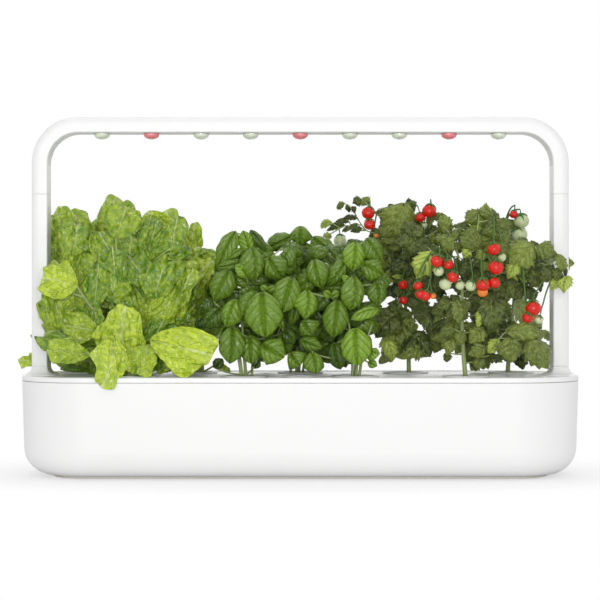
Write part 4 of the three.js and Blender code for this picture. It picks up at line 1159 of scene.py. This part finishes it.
# %% Tomato leaves
TOMATO = [
    (7, 345, 203, 335, 209, 7, 75, 0.3), (7, 362, 200, 352, 203, 9, 60, 0.3),
    (7, 362, 198, 370, 205, 10, 40, 0.5), (7, 347, 204, 350, 214, 5, 60, 0.2),
    (7, 352, 206, 356, 214, 6, 55, 0.2), (7, 358, 218, 341, 217, 5, 70, 0.15),
    (7, 350, 222, 333, 221, 5, 80, 0.15), (7, 345, 225, 328, 225, 5, 80, 0.15),
    (7, 340, 228, 325, 230, 5, 84, 0.15), (7, 358, 224, 346, 229, 6, 70, 0.2),
    (7, 352, 228, 340, 231, 6, 70, 0.2), (7, 362, 228, 350, 232, 6, 60, 0.2),
    (7, 332, 222, 318, 228, 7, 86, 0.9), (7, 323, 236, 332, 236, 6, 84, 0.9),
    (7, 405, 203, 388, 241, 32, 15, 0.5), (7, 392, 212, 380, 219, 8, 20, 0.3),
    (7, 408, 201, 416, 208, 9, 20, 0.2), (7, 375, 213, 384, 212, 4, 20, 0.3),
    (7, 430, 217, 448, 216, 7, 15, 0.4), (7, 432, 216, 428, 228, 8, 15, 0.3),
    (7, 437, 230, 455, 226, 10, 20, 0.45), (7, 395, 245, 412, 243, 10, 20, 0.15),
    (7, 392, 262, 405, 272, 16, 10, 0.15), (7, 388, 265, 400, 262, 12, 25, 0.1),
    (7, 400, 250, 408, 262, 10, 25, 0.1), (8, 428, 246, 415, 258, 14, -10, 0.15),
    (7, 412, 262, 422, 266, 9, 15, 0.15), (8, 432, 252, 414, 279, 20, -30, 1.0),
    (7, 404, 277, 393, 276, 5, 8, 0.9), (7, 377, 271, 376, 290, 13, 20, 0.5),
    (7, 380, 283, 396, 281, 7, 15, 0.5), (7, 397, 284, 392, 298, 12, 15, 0.05),
    (8, 455, 240, 441, 250, 14, -20, 0.45), (8, 480, 211, 465, 226, 13, -22, 0.4),
    (8, 494, 218, 478, 210, 8, -22, 0.4), (8, 494, 217, 497, 243, 26, -30, 0.3),
    (8, 478, 232, 462, 247, 20, -35, 0.35), (9, 503, 219, 522, 238, 9, 15, 0.35),
    (8, 470, 249, 463, 258, 10, -30, 1.0), (8, 486, 252, 474, 259, 9, -30, 0.5),
    (8, 466, 259, 463, 280, 14, -15, 0.15), (8, 475, 262, 483, 269, 7, -15, 0.15),
    (8, 533, 243, 510, 270, 26, -40, 0.55), (8, 517, 262, 507, 279, 13, -40, 0.9),
    (8, 535, 246, 560, 256, 16, -45, 0.35), (8, 556, 255, 565, 272, 14, -50, 0.45),
    (8, 540, 260, 534, 268, 8, -30, 0.15), (8, 552, 265, 541, 281, 14, -40, 0.2),
    (8, 560, 268, 555, 282, 10, -45, 0.3), (8, 556, 278, 552, 291, 10, -45, 0.9),
    (8, 568, 276, 562, 294, 13, -55, 1.0), (8, 563, 266, 567, 277, 6, -40, 0.15),
    (9, 527, 272, 519, 288, 14, 10, 0.2), (9, 538, 276, 531, 287, 10, 8, 0.45),
    (9, 508, 283, 510, 298, 16, 5, 1.0), (9, 524, 288, 537, 300, 16, 5, 0.2),
    (7, 398, 312, 374, 338, 26, 10, 0.2), (7, 384, 334, 395, 364, 15, 8, 1.0),
    (7, 408, 314, 412, 330, 11, 8, 0.4), (7, 410, 333, 432, 356, 28, 8, 0.2),
    (7, 425, 348, 398, 358, 16, 3, 0.45), (8, 450, 302, 437, 307, 10, -30, 0.3),
    (8, 457, 300, 460, 325, 13, -35, 0.4), (8, 462, 300, 470, 310, 12, -30, 0.3),
    (8, 490, 295, 492, 333, 22, -45, 0.2), (8, 481, 309, 478, 329, 9, -50, 1.0),
    (8, 455, 329, 439, 333, 11, -30, 0.3), (8, 452, 339, 447, 356, 10, -30, 0.45),
    (8, 448, 352, 446, 363, 8, -20, 0.15), (8, 463, 331, 457, 346, 11, -35, 0.45),
    (8, 484, 328, 468, 343, 16, -40, 0.5), (8, 498, 339, 488, 354, 12, -45, 1.0),
    (8, 486, 346, 468, 356, 14, -35, 0.4), (8, 480, 358, 477, 370, 11, -30, 0.35),
    (8, 489, 355, 503, 362, 9, -25, 0.15), (8, 510, 337, 512, 363, 24, -70, 0.4),
    (8, 505, 330, 548, 334, 15, -60, 0.45), (8, 527, 338, 551, 369, 24, -75, 0.35),
]

# %% Fruit: pixel of the middle, radius in pixels, pod and depth
RED_FRUIT = [
    (368, 213, 6.6, 7, 12), (369.5, 224.5, 5.8, 7, 12), (429, 211, 7, 7, 12), (420.5, 217.5, 5, 7, 12),
    (437, 261, 6.7, 8, -42), (448.5, 264.5, 5.2, 8, -42), (452.7, 277, 6, 8, -42), (403, 284.6, 5, 7, 5),
    (418, 285.4, 4.7, 8, -36), (403.5, 300, 4.5, 7, 5), (420.5, 294, 5, 8, -36),
    (425.5, 295.6, 5.5, 8, -40), (494, 249, 6.7, 8, -44), (496, 267.3, 7.7, 8, -46),
    (483, 284.3, 7.2, 8, -46), (494.6, 282.8, 5.8, 8, -44), (513.7, 214.4, 4.3, 9, 8),
    (533.3, 308.2, 8, 8, -30), (527.6, 317.8, 5.5, 8, -34),
]
ORANGE_FRUIT = [(433, 296, 3.3, 8, -40), (482.6, 292, 5.5, 8, -38), (376, 235.5, 2.5, 7, 12)]
GREEN_FRUIT = [
    (340, 241, 6.5, 7, 84), (424.4, 225, 3, 7, 14), (438.8, 271, 5.5, 8, -36), (445.3, 284.3, 6.3, 8, -40),
    (460, 285.5, 4.8, 8, -38), (470.7, 285.7, 5.7, 8, -40), (501.8, 257.5, 4.5, 8, -38),
    (521.4, 221, 7.7, 9, 10), (519.5, 235, 8, 9, 10), (538.6, 319.7, 4.5, 8, -28),
]
print("leaves read from the photograph:", len(LETTUCE), len(BASIL), len(TOMATO),
      "fruit:", len(RED_FRUIT) + len(ORANGE_FRUIT) + len(GREEN_FRUIT))

# %% Leaves that face the back: pod, stalk and tip in pixels, width in pixels and depth
BACK_LEAVES = [
    (1, 100, 350, 70, 300, 40, 75), (1, 95, 300, 110, 240, 42, 70), (1, 70, 290, 50, 235, 34, 60),
    (1, 110, 345, 130, 305, 36, 80), (3, 190, 350, 165, 300, 42, 78), (3, 195, 345, 225, 300, 40, 75),
    (3, 195, 290, 180, 235, 38, 65), (3, 200, 300, 230, 265, 32, 70), (5, 290, 300, 270, 335, 26, 80),
    (5, 310, 300, 335, 335, 26, 80), (5, 300, 260, 285, 300, 26, 70), (5, 310, 255, 340, 285, 24, 46),
    (5, 320, 330, 310, 365, 24, 82), (5, 275, 335, 262, 362, 22, 78), (7, 400, 300, 385, 335, 24, 78),
    (7, 410, 300, 440, 330, 24, 76), (7, 405, 250, 390, 285, 24, 70), (7, 410, 250, 435, 285, 22, 70),
    (7, 405, 215, 425, 245, 22, 55), (7, 400, 340, 380, 365, 20, 75), (9, 505, 300, 480, 330, 24, 78),
    (9, 515, 300, 540, 330, 24, 76), (9, 505, 250, 485, 285, 24, 68), (9, 515, 250, 540, 280, 24, 68),
    (9, 510, 220, 500, 250, 20, 55), (9, 512, 335, 500, 362, 20, 76),
]

# %% [markdown]
# ## Growing the plants
# Behind the leaves that were read from the photograph, each kind of plant fills its own part of the
# picture: a seeded draw sets leaves over the foliage's outline, in a layer behind the front ones and in one
# in the middle, both darker as painted shade, and in one that faces the back. Tomato leaves are made up of
# five or seven leaflets.
# Stalks branch: each leaf is joined to the nearest lower point of what its pod has grown so far.

# %% Pods, kinds and the room of each pod
KIND_OF_POD = {pod: ("lettuce", "basil", "tomato")[(pod - 1) // 3] for pod in range(1, POD_COUNT + 1)}
# Columns of the picture that belong to each pod
BACK_LIMITS = {1: (33, 142), 3: (142, 248), 5: (248, 366), 7: (366, 458), 9: (458, 567)}
FRONT_LIMITS = {2: (16, 188), 4: (188, 300), 6: (300, 412), 8: (412, 584)}
STEM_COLUMN = {1: 90, 2: 134, 3: 195, 4: 245, 5: 300, 6: 356, 7: 405, 8: 466, 9: 511}
LEAF_THICKNESS = {"lettuce": 0.45, "basil": 0.5, "tomato": 0.45}
STALKS = {"lettuce": (1.4, 1.0), "basil": (1.0, 0.7), "tomato": (0.9, 0.6)}
ARCHES = {"lettuce": (0.02, 0.20), "basil": (0.10, 0.24), "tomato": (0.08, 0.26)}
ROLLS = {"lettuce": 28, "basil": 30, "tomato": 34}
FULLNESS = {"lettuce": 1.15, "basil": 1.14, "tomato": 1.35}
FOLIAGE = {
    "lettuce": [[
        (58, 222), (72, 224), (95, 238), (110, 214), (125, 212), (130, 246), (142, 240), (152, 224),
        (172, 224), (186, 248), (198, 236), (204, 254), (213, 274), (206, 300), (200, 335), (178, 362),
        (140, 368), (100, 366), (60, 358), (50, 330), (48, 290), (54, 250)]],
    "basil": [[
        (222, 244), (245, 238), (262, 252), (285, 242), (300, 238), (320, 250), (345, 247), (360, 247),
        (380, 262), (388, 280), (378, 300), (378, 332), (366, 350), (355, 362), (330, 362), (308, 356),
        (290, 358), (268, 352), (250, 358), (232, 358), (222, 335), (207, 322), (206, 300), (215, 275)]],
    "tomato": [
        [(372, 225), (395, 210), (418, 212), (440, 228), (462, 232), (480, 216), (500, 224), (512, 248),
         (536, 250), (556, 262), (560, 284), (540, 284), (520, 280), (500, 300), (470, 306), (448, 296),
         (430, 276), (408, 300), (384, 290), (376, 260)],
        [(380, 312), (415, 312), (428, 340), (416, 356), (392, 356), (380, 335)],
        [(440, 302), (498, 302), (502, 350), (480, 362), (448, 350), (436, 325)],
        [(500, 330), (540, 334), (545, 356), (515, 356), (500, 345)]],
}
# What the draw covers, and its pitch and a leaf's length and width for each kind, all in pixels
FOLIAGE_ROWS, FOLIAGE_COLUMNS = (200, 372), (20, 580)
FILLING = {"lettuce": (19, 44, 34), "basil": (15, 27, 21), "tomato": (20, 44, 14)}
# Places where the white behind the tomatoes shows through: column, row and radius
CLEARINGS = [(424, 309, 13), (469, 317, 15), (424, 340, 9), (541, 296, 14), (500, 352, 9), (455, 222, 9)]
# The row that the leaves of a kind point away from, and how far they droop
POINT_FROM = {"lettuce": (385, 0), "basil": (330, 0.7), "tomato": (330, 0.7)}
# Depths and tones of the three layers, the two inner ones set darker as painted shade, whether they face the
# back, and whether they are in the front row
LAYERS = [(-42, -8, 0.20, 0.65, False, True), (8, 40, 0.20, 0.60, False, False),
          (46, 82, 0.45, 0.90, True, False)]


# %% Places in the foliage
def pod_at(column, limits, kind):
    """The pod of this kind that has this column of the picture, if there is one."""
    return next((pod for pod, (low, high) in limits.items()
                 if low <= column < high and KIND_OF_POD[pod] == kind), None)


def inside(outline, column, row):
    crossings = 0
    for (x0, y0), (x1, y1) in zip(outline, outline[1:] + outline[:1]):
        if (y0 > row) != (y1 > row) and column < (x1 - x0) * (row - y0) / (y1 - y0) + x0:
            crossings += 1
    return crossings % 2 == 1


def stem_point(pod, height):
    """A point of a pod's middle stem, which sways and leans towards the middle on its way up."""
    x, y = pod_place(pod)
    sway = 0.004 * math.sin(height * 22 + pod * 1.7)
    lean = 0.16 * max(0, height - 0.11) * (-1 if y > 0 else 1)
    return Vector((x * MM + sway, y * MM + 0.7 * sway + lean, height))


def leaf_depth(pod, depth):
    """Brings the front row's basil and tomato leaves forward, so that they hang before their stem."""
    return 0.6 * depth - 36 if pod in (4, 6, 8) else depth


def root_depth(pod, depth, share=0.35):
    """The depth of a leaf's stalk, a share of the way from its tip to the middle of its pod."""
    return depth + share * (pod_place(pod)[1] - depth)


def span(pixels, depth):
    """The length of so many pixels at a depth, in metres."""
    return pixels * (CAMERA_DISTANCE + depth) / FOCAL_PIXELS * MM


# The room of the two rows, and how far left and right the leaves behind may grow, where a neighbour would
# be in the way of a lifted pod
FRONT_ROOM, BACK_ROOM = (-0.0925, -0.004), (0.004, 0.090)
SIDE_LIMITS = {5: (-1, 0.064), 7: (0.080, 0.166), 9: (0.184, 1)}
BRANCH_FROM, BRANCH_UNDER, BRANCH_ROOM = 0.012, 0.19, 0.045
LOWEST_LEAF, LOWEST_STALK = 0.110, 0.108


def held_in(place, pod):
    """Keeps a place clear of its pod's neighbours and of the two long rims, also when the pod is lifted."""
    low, high = BACK_ROOM if pod % 2 else FRONT_ROOM
    if pod == 5 and place.x > BRANCH_FROM and place.z > BRANCH_UNDER:  # below the long branch of pod 7
        high = BRANCH_ROOM
    left, right = SIDE_LIMITS.get(pod, (-1, 1))
    return Vector((min(max(place.x, left), right), min(max(place.y, low), high), max(place.z, LOWEST_LEAF)))


# %% Adding a leaf
grown = {pod: {"leaves": [], "filling": [], "ends": [], "ribs": []} for pod in KIND_OF_POD}
ARM_REACH, ARM_FROM, BEHIND_ARM = -0.22, 0.20, 0.018
RIM_DEPTH, RIM_SQUASH = 0.095, 0.4


def add_leaf(pod, stalk, tip, width, tone_and_painted_shade, to_back, fine, draw, joined=True):
    """Adds one leaf to its pod, and the end of a stalk for it."""
    kind = KIND_OF_POD[pod]
    grid = (GRIDS if fine else COARSE_GRIDS)[kind]
    corners = bent_leaf(kind, grid, stalk, tip, width, draw.uniform(-ROLLS[kind], ROLLS[kind]),
                        draw.uniform(*ARCHES[kind]), to_back, draw)
    if pod == 1:  # it grows past the lamp's left arm, and stays behind it
        beside_arm = (corners[:, 0] < ARM_REACH) & (corners[:, 2] > ARM_FROM)
        back = max(0.0, BEHIND_ARM - corners[beside_arm, 1].min(initial=1))
        corners[:, 1] += back
        stalk, tip = stalk + Vector((0, back, 0)), tip + Vector((0, back, 0))
    # What hangs over the front rim lies close to it
    corners[:, 1] -= RIM_SQUASH * np.minimum(corners[:, 1] + RIM_DEPTH, 0)
    grown[pod]["leaves" if fine else "filling"].append(
        (corners, grid[2], np.stack([(grid[0] + 1) / 2, grid[1]], axis=1), tone_and_painted_shade))
    if joined:
        grown[pod]["ends"].append((stalk, stalk + (tip - stalk) * 0.05))


def leaf_at(pod, x0, y0, x1, y1, width, depth, tone_and_painted_shade, to_back, draw):
    """Adds a leaf whose stalk and tip are given as pixels."""
    add_leaf(pod, at_pixel(x0, y0, root_depth(pod, depth) * MM), at_pixel(x1, y1, depth * MM),
             span(width, depth), tone_and_painted_shade, to_back, True, draw)


# %% Tomato leaves of several leaflets
def compound_leaf(pod, stalk, tip, width, tone_and_painted_shade, to_back, draw):
    """A tomato leaf: leaflets in pairs along a rib, the lowest pair the smallest, and one at the end."""
    axis = tip - stalk
    side = axis.cross(Vector((0, 1 if to_back else -1, 0.25))).normalized() * axis.length
    pairs = draw.choice((2, 2, 3))
    for pair in range(pairs):
        share = 0.15 + 0.5 * pair / pairs
        for sign in (-1, 1):
            foot = stalk + axis * (share + draw.uniform(0, 0.06))
            reach = 0.34 + 0.10 * pair + draw.uniform(-0.05, 0.05)
            droop = Vector((0, 0, -0.2 * reach * axis.length))
            end = foot + (axis * 0.55 + side * (0.8 * sign)) * reach + droop
            add_leaf(pod, held_in(foot, pod), held_in(end, pod), width * (0.75 + 0.12 * pair),
                     tone_and_painted_shade * draw.uniform(0.8, 1.2), to_back, False, draw, joined=False)
            rib_end = foot + (end - foot) * 0.2
            grown[pod]["ribs"].append(curve_points(foot, foot + (end - foot) * 0.1, rib_end, 3))
    foot = stalk + axis * 0.62
    add_leaf(pod, held_in(foot, pod), held_in(tip, pod), width * 1.3, tone_and_painted_shade, to_back, False, draw,
             joined=False)
    grown[pod]["ribs"].append(curve_points(stalk, stalk + axis * 0.3, foot + axis * 0.03, 5))
    grown[pod]["ends"].append((stalk, stalk + axis * 0.05))


# %% Leaves in front and leaves at the back
for seed, rows in ((11, LETTUCE), (12, BASIL), (13, TOMATO)):
    draw = random.Random(seed)
    for pod, x0, y0, x1, y1, width, depth, tone_and_painted_shade in rows:
        full = width * FULLNESS[KIND_OF_POD[pod]]
        leaf_at(pod, x0, y0, x1, y1, full, leaf_depth(pod, depth), tone_and_painted_shade, False, draw)
draw = random.Random(14)
for row in BACK_LEAVES:
    leaf_at(*row, draw.uniform(0.5, 0.9), True, draw)


# %% The three layers between them
def filling_leaf(kind, outlines, column, row, layer, draw):
    """One draw of the filling: a leaf near a pixel, if that is inside the foliage."""
    near, far, dark, bright, to_back, front = layer
    pitch, length, width = FILLING[kind]
    x, y = column + draw.uniform(-0.5, 0.5) * pitch, row + draw.uniform(-0.5, 0.5) * pitch
    pod = pod_at(x, FRONT_LIMITS if front else BACK_LIMITS, kind)
    if pod is None or not any(inside(outline, x, y) for outline in outlines):
        return
    if kind == "tomato" and any(math.hypot(x - a, y - b) < radius for a, b, radius in CLEARINGS):
        return
    from_row, droop = POINT_FROM[kind]
    way_out = Vector((x - STEM_COLUMN[pod], y - from_row)).normalized() + Vector((0, droop))
    angle = math.atan2(way_out.y, way_out.x) + draw.uniform(-0.7, 0.7)
    way = Vector((math.cos(angle), math.sin(angle))) * (length * draw.uniform(0.75, 1.15))
    depth = draw.uniform(near, far)
    stalk = held_in(at_pixel(x - 0.6 * way.x, y - 0.6 * way.y, root_depth(pod, depth, 0.3) * MM), pod)
    tip = held_in(at_pixel(x + 0.4 * way.x, y + 0.4 * way.y, depth * MM), pod)
    wide = span(width * draw.uniform(0.8, 1.2), depth)
    # The layer's range sets the tone, darker in the inner layers as painted shade; tomato leaves also vary at
    # random
    tone_and_painted_shade = draw.uniform(dark, bright) * (draw.uniform(0.3, 1.6) if kind == "tomato" else 1)
    if (tip - stalk).length < SHORTEST_LEAF:
        return
    if kind == "tomato":
        compound_leaf(pod, stalk, tip, wide, tone_and_painted_shade, to_back, draw)
    else:
        add_leaf(pod, stalk, tip, wide, tone_and_painted_shade, to_back, False, draw)


SHORTEST_LEAF = 0.006
for seed, (kind, outlines) in enumerate(FOLIAGE.items()):
    draw = random.Random(40 + seed)
    for layer in LAYERS:
        for row in range(*FOLIAGE_ROWS, FILLING[kind][0]):
            for column in range(*FOLIAGE_COLUMNS, FILLING[kind][0]):
                filling_leaf(kind, outlines, column, row, layer, draw)

# %% Two leaf pieces for each plant
for pod, kind in KIND_OF_POD.items():
    for share in ("leaves", "filling"):  # so that neither piece has too many faces
        leaves = joined_mesh(f"{kind}_{share}_{pod}", grown[pod][share])
        for finish in LEAF_FINISH[kind]:
            leaves.data.materials.append(finish)
        modify(leaves, "SOLIDIFY", thickness=LEAF_THICKNESS[kind] * MM, offset=-1, material_offset=1)
        finish_piece(leaves, f"pod_{pod}", f"{kind}_leaf", None, f"{kind}_plant_{pod}")
        print(leaves.name, len(grown[pod][share]), "leaves,", len(leaves.data.polygons), "faces")


# %% Stalks
RIB_RADII, FRUIT_STALK_RADII = (0.0006, 0.0004), (0.0006, 0.0008, 0.0011)


def branched(pod, kind, heights):
    """Joins each leaf to the nearest lower point of the stem, or of a stalk that is there already."""
    joints = np.array([stem_point(pod, height)[:] for height in heights])
    slope = 1.0 if kind == "lettuce" else 0.15
    stem = pod_place(pod)
    tubes = []
    for stalk, lead in sorted(grown[pod]["ends"], key=lambda end: math.hypot(
            end[0].x - stem[0] * MM, end[0].y - stem[1] * MM)):
        gaps = np.linalg.norm(joints - np.array(stalk), axis=1)
        too_high = np.maximum(joints[:, 2] - stalk.z + slope * gaps * 0.7, 0)
        root = Vector(joints[int(np.argmin(gaps + 3 * too_high))])
        bend = (stalk + root) / 2 + Vector((0, 0, -0.12 * (stalk - root).length))
        bend.z = max(bend.z, LOWEST_STALK)
        points = curve_points(root, bend, lead)
        tubes.append(tube(points, STALKS[kind][0] * MM, STALKS[kind][1] * MM))
        joints = np.vstack([joints, [point[:] for point in points[2:8]]])
    tubes += [tube(points, *RIB_RADII, 5) for points in grown[pod]["ribs"]]
    rib_points = [[point[:] for point in points] for points in grown[pod]["ribs"]]
    grown[pod]["joints"] = np.vstack([joints] + rib_points)
    return tubes


# %% Middle stems
STEM_TOP = {1: 0.20, 2: 0.15, 3: 0.20, 4: 0.215, 5: 0.235, 6: 0.215, 7: 0.275, 8: 0.255, 9: 0.265}
STEM_RADIUS = {"lettuce": (7.0, 3.0), "basil": (2.0, 1.2), "tomato": (2.6, 1.4)}
for pod, kind in KIND_OF_POD.items():
    foot = SOIL_TOP * MM - 0.002
    heights = [foot + (STEM_TOP[pod] - foot) * i / 16 for i in range(17)]
    thick, thin = STEM_RADIUS[kind]
    stems = branched(pod, kind, heights)
    stems.append(tube([stem_point(pod, height) for height in heights], thick * MM, thin * MM, 10))
    if kind == "basil":
        draw = random.Random(pod)
        for _ in range(4):
            lean = Vector((draw.uniform(-0.016, 0.016), draw.uniform(-0.012, 0.012), 0))
            top = stem_point(pod, STEM_TOP[pod] - draw.uniform(0.02, 0.06)) + 1.6 * lean
            start = stem_point(pod, foot) + 0.45 * lean
            stems.append(tube(curve_points(start, (start + top) / 2 - 0.5 * lean, top), 0.0016, 0.001, 8))
    piece = joined_mesh(f"{kind}_stems_{pod}", stems)
    outward(piece)
    finish_piece(piece, f"pod_{pod}", "plant_stem", stem_material, f"{kind}_plant_{pod}")
print("stems ready")


# %% One fruit, with its calyx
def fruit_parts(centre, radius, draw):
    """A slightly flattened, faintly ribbed ball, hung by five sepals and a short stalk."""
    select_none()
    bpy.ops.mesh.primitive_uv_sphere_add(segments=24, ring_count=14, radius=1)
    ball = bpy.context.object
    places = np.array([corner.co[:] for corner in ball.data.vertices])
    faces = [tuple(face.vertices) for face in ball.data.polygons]
    bpy.data.objects.remove(ball)
    turn = np.arctan2(places[:, 1], places[:, 0])
    ring = np.hypot(places[:, 0], places[:, 1])
    places[:, :2] *= (1 + 0.02 * np.cos(5 * turn + draw.uniform(0, 6)))[:, None]
    places[:, 2] *= 0.93
    places[:, 2] -= 0.16 * np.exp(-(ring / 0.28) ** 2) * (places[:, 2] > 0)
    tilt = draw.uniform(-0.5, 0.5), draw.uniform(-0.2, 0.6)
    spin_x = np.array([[1, 0, 0], [0, math.cos(tilt[1]), -math.sin(tilt[1])],
                       [0, math.sin(tilt[1]), math.cos(tilt[1])]])
    spin_y = np.array([[math.cos(tilt[0]), 0, math.sin(tilt[0])], [0, 1, 0],
                       [-math.sin(tilt[0]), 0, math.cos(tilt[0])]])
    spin = spin_y @ spin_x
    middle = np.array(centre)
    fruit = (places * radius @ spin.T + middle, faces)
    green = []
    for sepal in range(5):
        angle = sepal / 5 * 2 * math.pi + draw.uniform(-0.2, 0.2)
        reach = draw.uniform(0.75, 0.95)
        arm_points = []
        for share in (0.0, 0.35, 0.7, 1.0):
            out = 0.08 + reach * share
            height = 0.93 * math.sqrt(max(0.0, 1 - min(out, 0.98) ** 2)) + 0.06 + 0.10 * share
            arm_points.append(Vector(
                np.array([out * math.cos(angle), out * math.sin(angle), height]) * radius @ spin.T + middle))
        green.append(tube(arm_points, 0.17 * radius, 0.03 * radius, 6))
    crown = Vector(np.array([0, 0, 0.82]) * radius @ spin.T + middle)
    return fruit, green, crown


# %% Fruit on its stalks
def fruit_piece(name, rows, pod, slot, material):
    """All fruit of one finish on one pod as a piece. Their calyxes and stalks are given back."""
    draw = random.Random(pod * 7 + len(rows))
    parts, crowns = [], []
    for column, row, radius, _, depth in rows:
        depth = leaf_depth(pod, depth) - (10 if pod == 8 else 0)
        centre = at_pixel(column, row, depth * MM)
        fruit, green, crown = fruit_parts(centre, span(radius, depth), draw)
        parts.append(fruit)
        knee = crown + Vector((draw.uniform(-0.003, 0.003), 0.004, 0.009))
        joints = grown[pod]["joints"]
        gaps = np.linalg.norm(joints - np.array(knee + Vector((0, 0, 0.008))), axis=1)
        stem = Vector(joints[int(np.argmin(gaps))])
        hang = curve_points(crown, knee, knee + (stem - knee) * 0.15, 5)
        rise = Vector((0, 0, min(0.012, 0.4 * (stem - hang[-1]).length)))
        reach = curve_points(hang[-1], (hang[-1] + stem) / 2 + rise, stem)
        thin, middle, thick = FRUIT_STALK_RADII
        crowns += green + [tube(hang, thin, middle, 6), tube(reach, middle, thick, 6)]
    piece = joined_mesh(name, parts)
    outward(piece)
    finish_piece(piece, f"pod_{pod}", slot, material, f"tomato_plant_{pod}")
    return crowns


FRUIT = (("ripe_fruit", RED_FRUIT, "ripe_fruit", ripe_skin),
         ("turning_fruit", ORANGE_FRUIT, "ripe_fruit", orange_skin),
         ("green_fruit", GREEN_FRUIT, "unripe_fruit", green_skin))
for pod in (7, 8, 9):
    crowns = []
    for label, rows, slot, material in FRUIT:
        own = [row for row in rows if row[3] == pod]
        if own:
            crowns += fruit_piece(f"{label}_{pod}", own, pod, slot, material)
    calyx = joined_mesh(f"fruit_stalks_{pod}", crowns)
    outward(calyx)
    finish_piece(calyx, f"pod_{pod}", "plant_stem", calyx_material, f"tomato_plant_{pod}")
    print("pod", pod, "stalk parts:", len(crowns))

# %% [markdown]
# ## Studio
# The photograph is a cut-out on white: bright from the front, and falling off to grey round the two ends of
# the tank. A wide soft light stands low in front, a dim one hangs above, and one stands behind, whose light
# comes through the leaves. The world is white only for the camera and for reflections, and dimmer as a
# light, so the white housing keeps its shade.

# %% Floor
select_none()
bpy.ops.mesh.primitive_plane_add(size=8, location=(0, 0, 0))
floor = named("studio_floor")
floor_material, floor_tree, floor_shader = new_material("pale_studio_floor")
feed_all(floor_shader, Base_Color=(0.92, 0.92, 0.92, 1), Roughness=0.9)
# Away from the object the floor fades to the white of the backdrop for the camera, so no horizon shows.
# The fade follows the long shape of the tank, and part of the white stays under it, so its shadow is faint.
FLOOR_WHITE, FADE_FROM, FADE_TO = 0.55, 0.10, 0.22


def vector_math(tree, operation, *values):
    node = tree.nodes.new("ShaderNodeVectorMath")
    node.operation = operation
    for socket, value in zip(node.inputs, values):
        feed(socket, value)
    return node.outputs


drawn_in = vector_math(floor_tree, "MULTIPLY", object_place(floor_tree), (0.4, 1, 1))["Vector"]
distance = vector_math(floor_tree, "LENGTH", drawn_in)["Value"]
fade = add_node(floor_tree, "ShaderNodeMapRange", Value=distance, From_Min=FADE_FROM, From_Max=FADE_TO,
                To_Min=FLOOR_WHITE)
fade.interpolation_type = "SMOOTHSTEP"
floor_path = floor_tree.nodes.new("ShaderNodeLightPath")
seen = math_node(floor_tree, "MULTIPLY", floor_path.outputs["Is Camera Ray"], fade.outputs[0])
surface_mix(floor_tree, seen, floor_shader, add_node(floor_tree, "ShaderNodeEmission", Strength=1.0))
floor.data.materials.append(floor_material)

# %% World
world = bpy.data.worlds.new("studio_world")
bpy.context.scene.world = world
world.use_nodes = True
world_tree = world.node_tree
path = world_tree.nodes.new("ShaderNodeLightPath").outputs
seen_white = math_node(
    world_tree, "MAXIMUM",
    math_node(world_tree, "MAXIMUM", path["Is Camera Ray"], path["Is Glossy Ray"]),
    path["Is Transmission Ray"])
WORLD_FILL = 0.62
feed_all(world_tree.nodes["Background"], Color=(1, 1, 1, 1),
         Strength=math_node(world_tree, "MULTIPLY_ADD", seen_white, 1 - WORLD_FILL, WORLD_FILL))


# %% Lamps
def soft_light(name, size, place, target, watts):
    data = bpy.data.lights.new(name, "AREA")
    data.shape = "RECTANGLE"
    data.size, data.size_y = size
    data.energy = watts
    light = bpy.data.objects.new(name, data)
    light.location = place
    light.rotation_euler = (Vector(target) - Vector(place)).to_track_quat("-Z", "Y").to_euler()
    bpy.context.scene.collection.objects.link(light)


soft_light("front_light", (1.5, 0.7), (0, -2.6, 0.36), (0, 0, 0.14), 24)
soft_light("top_light", (1.4, 0.8), (0, 0.1, 1.9), (0, 0, 0.1), 4)
soft_light("back_light", (1.6, 0.9), (0, 2.2, 1.3), (0, 0, 0.15), 14)
bpy.context.scene.view_settings.view_transform = "Standard"
print("studio ready")
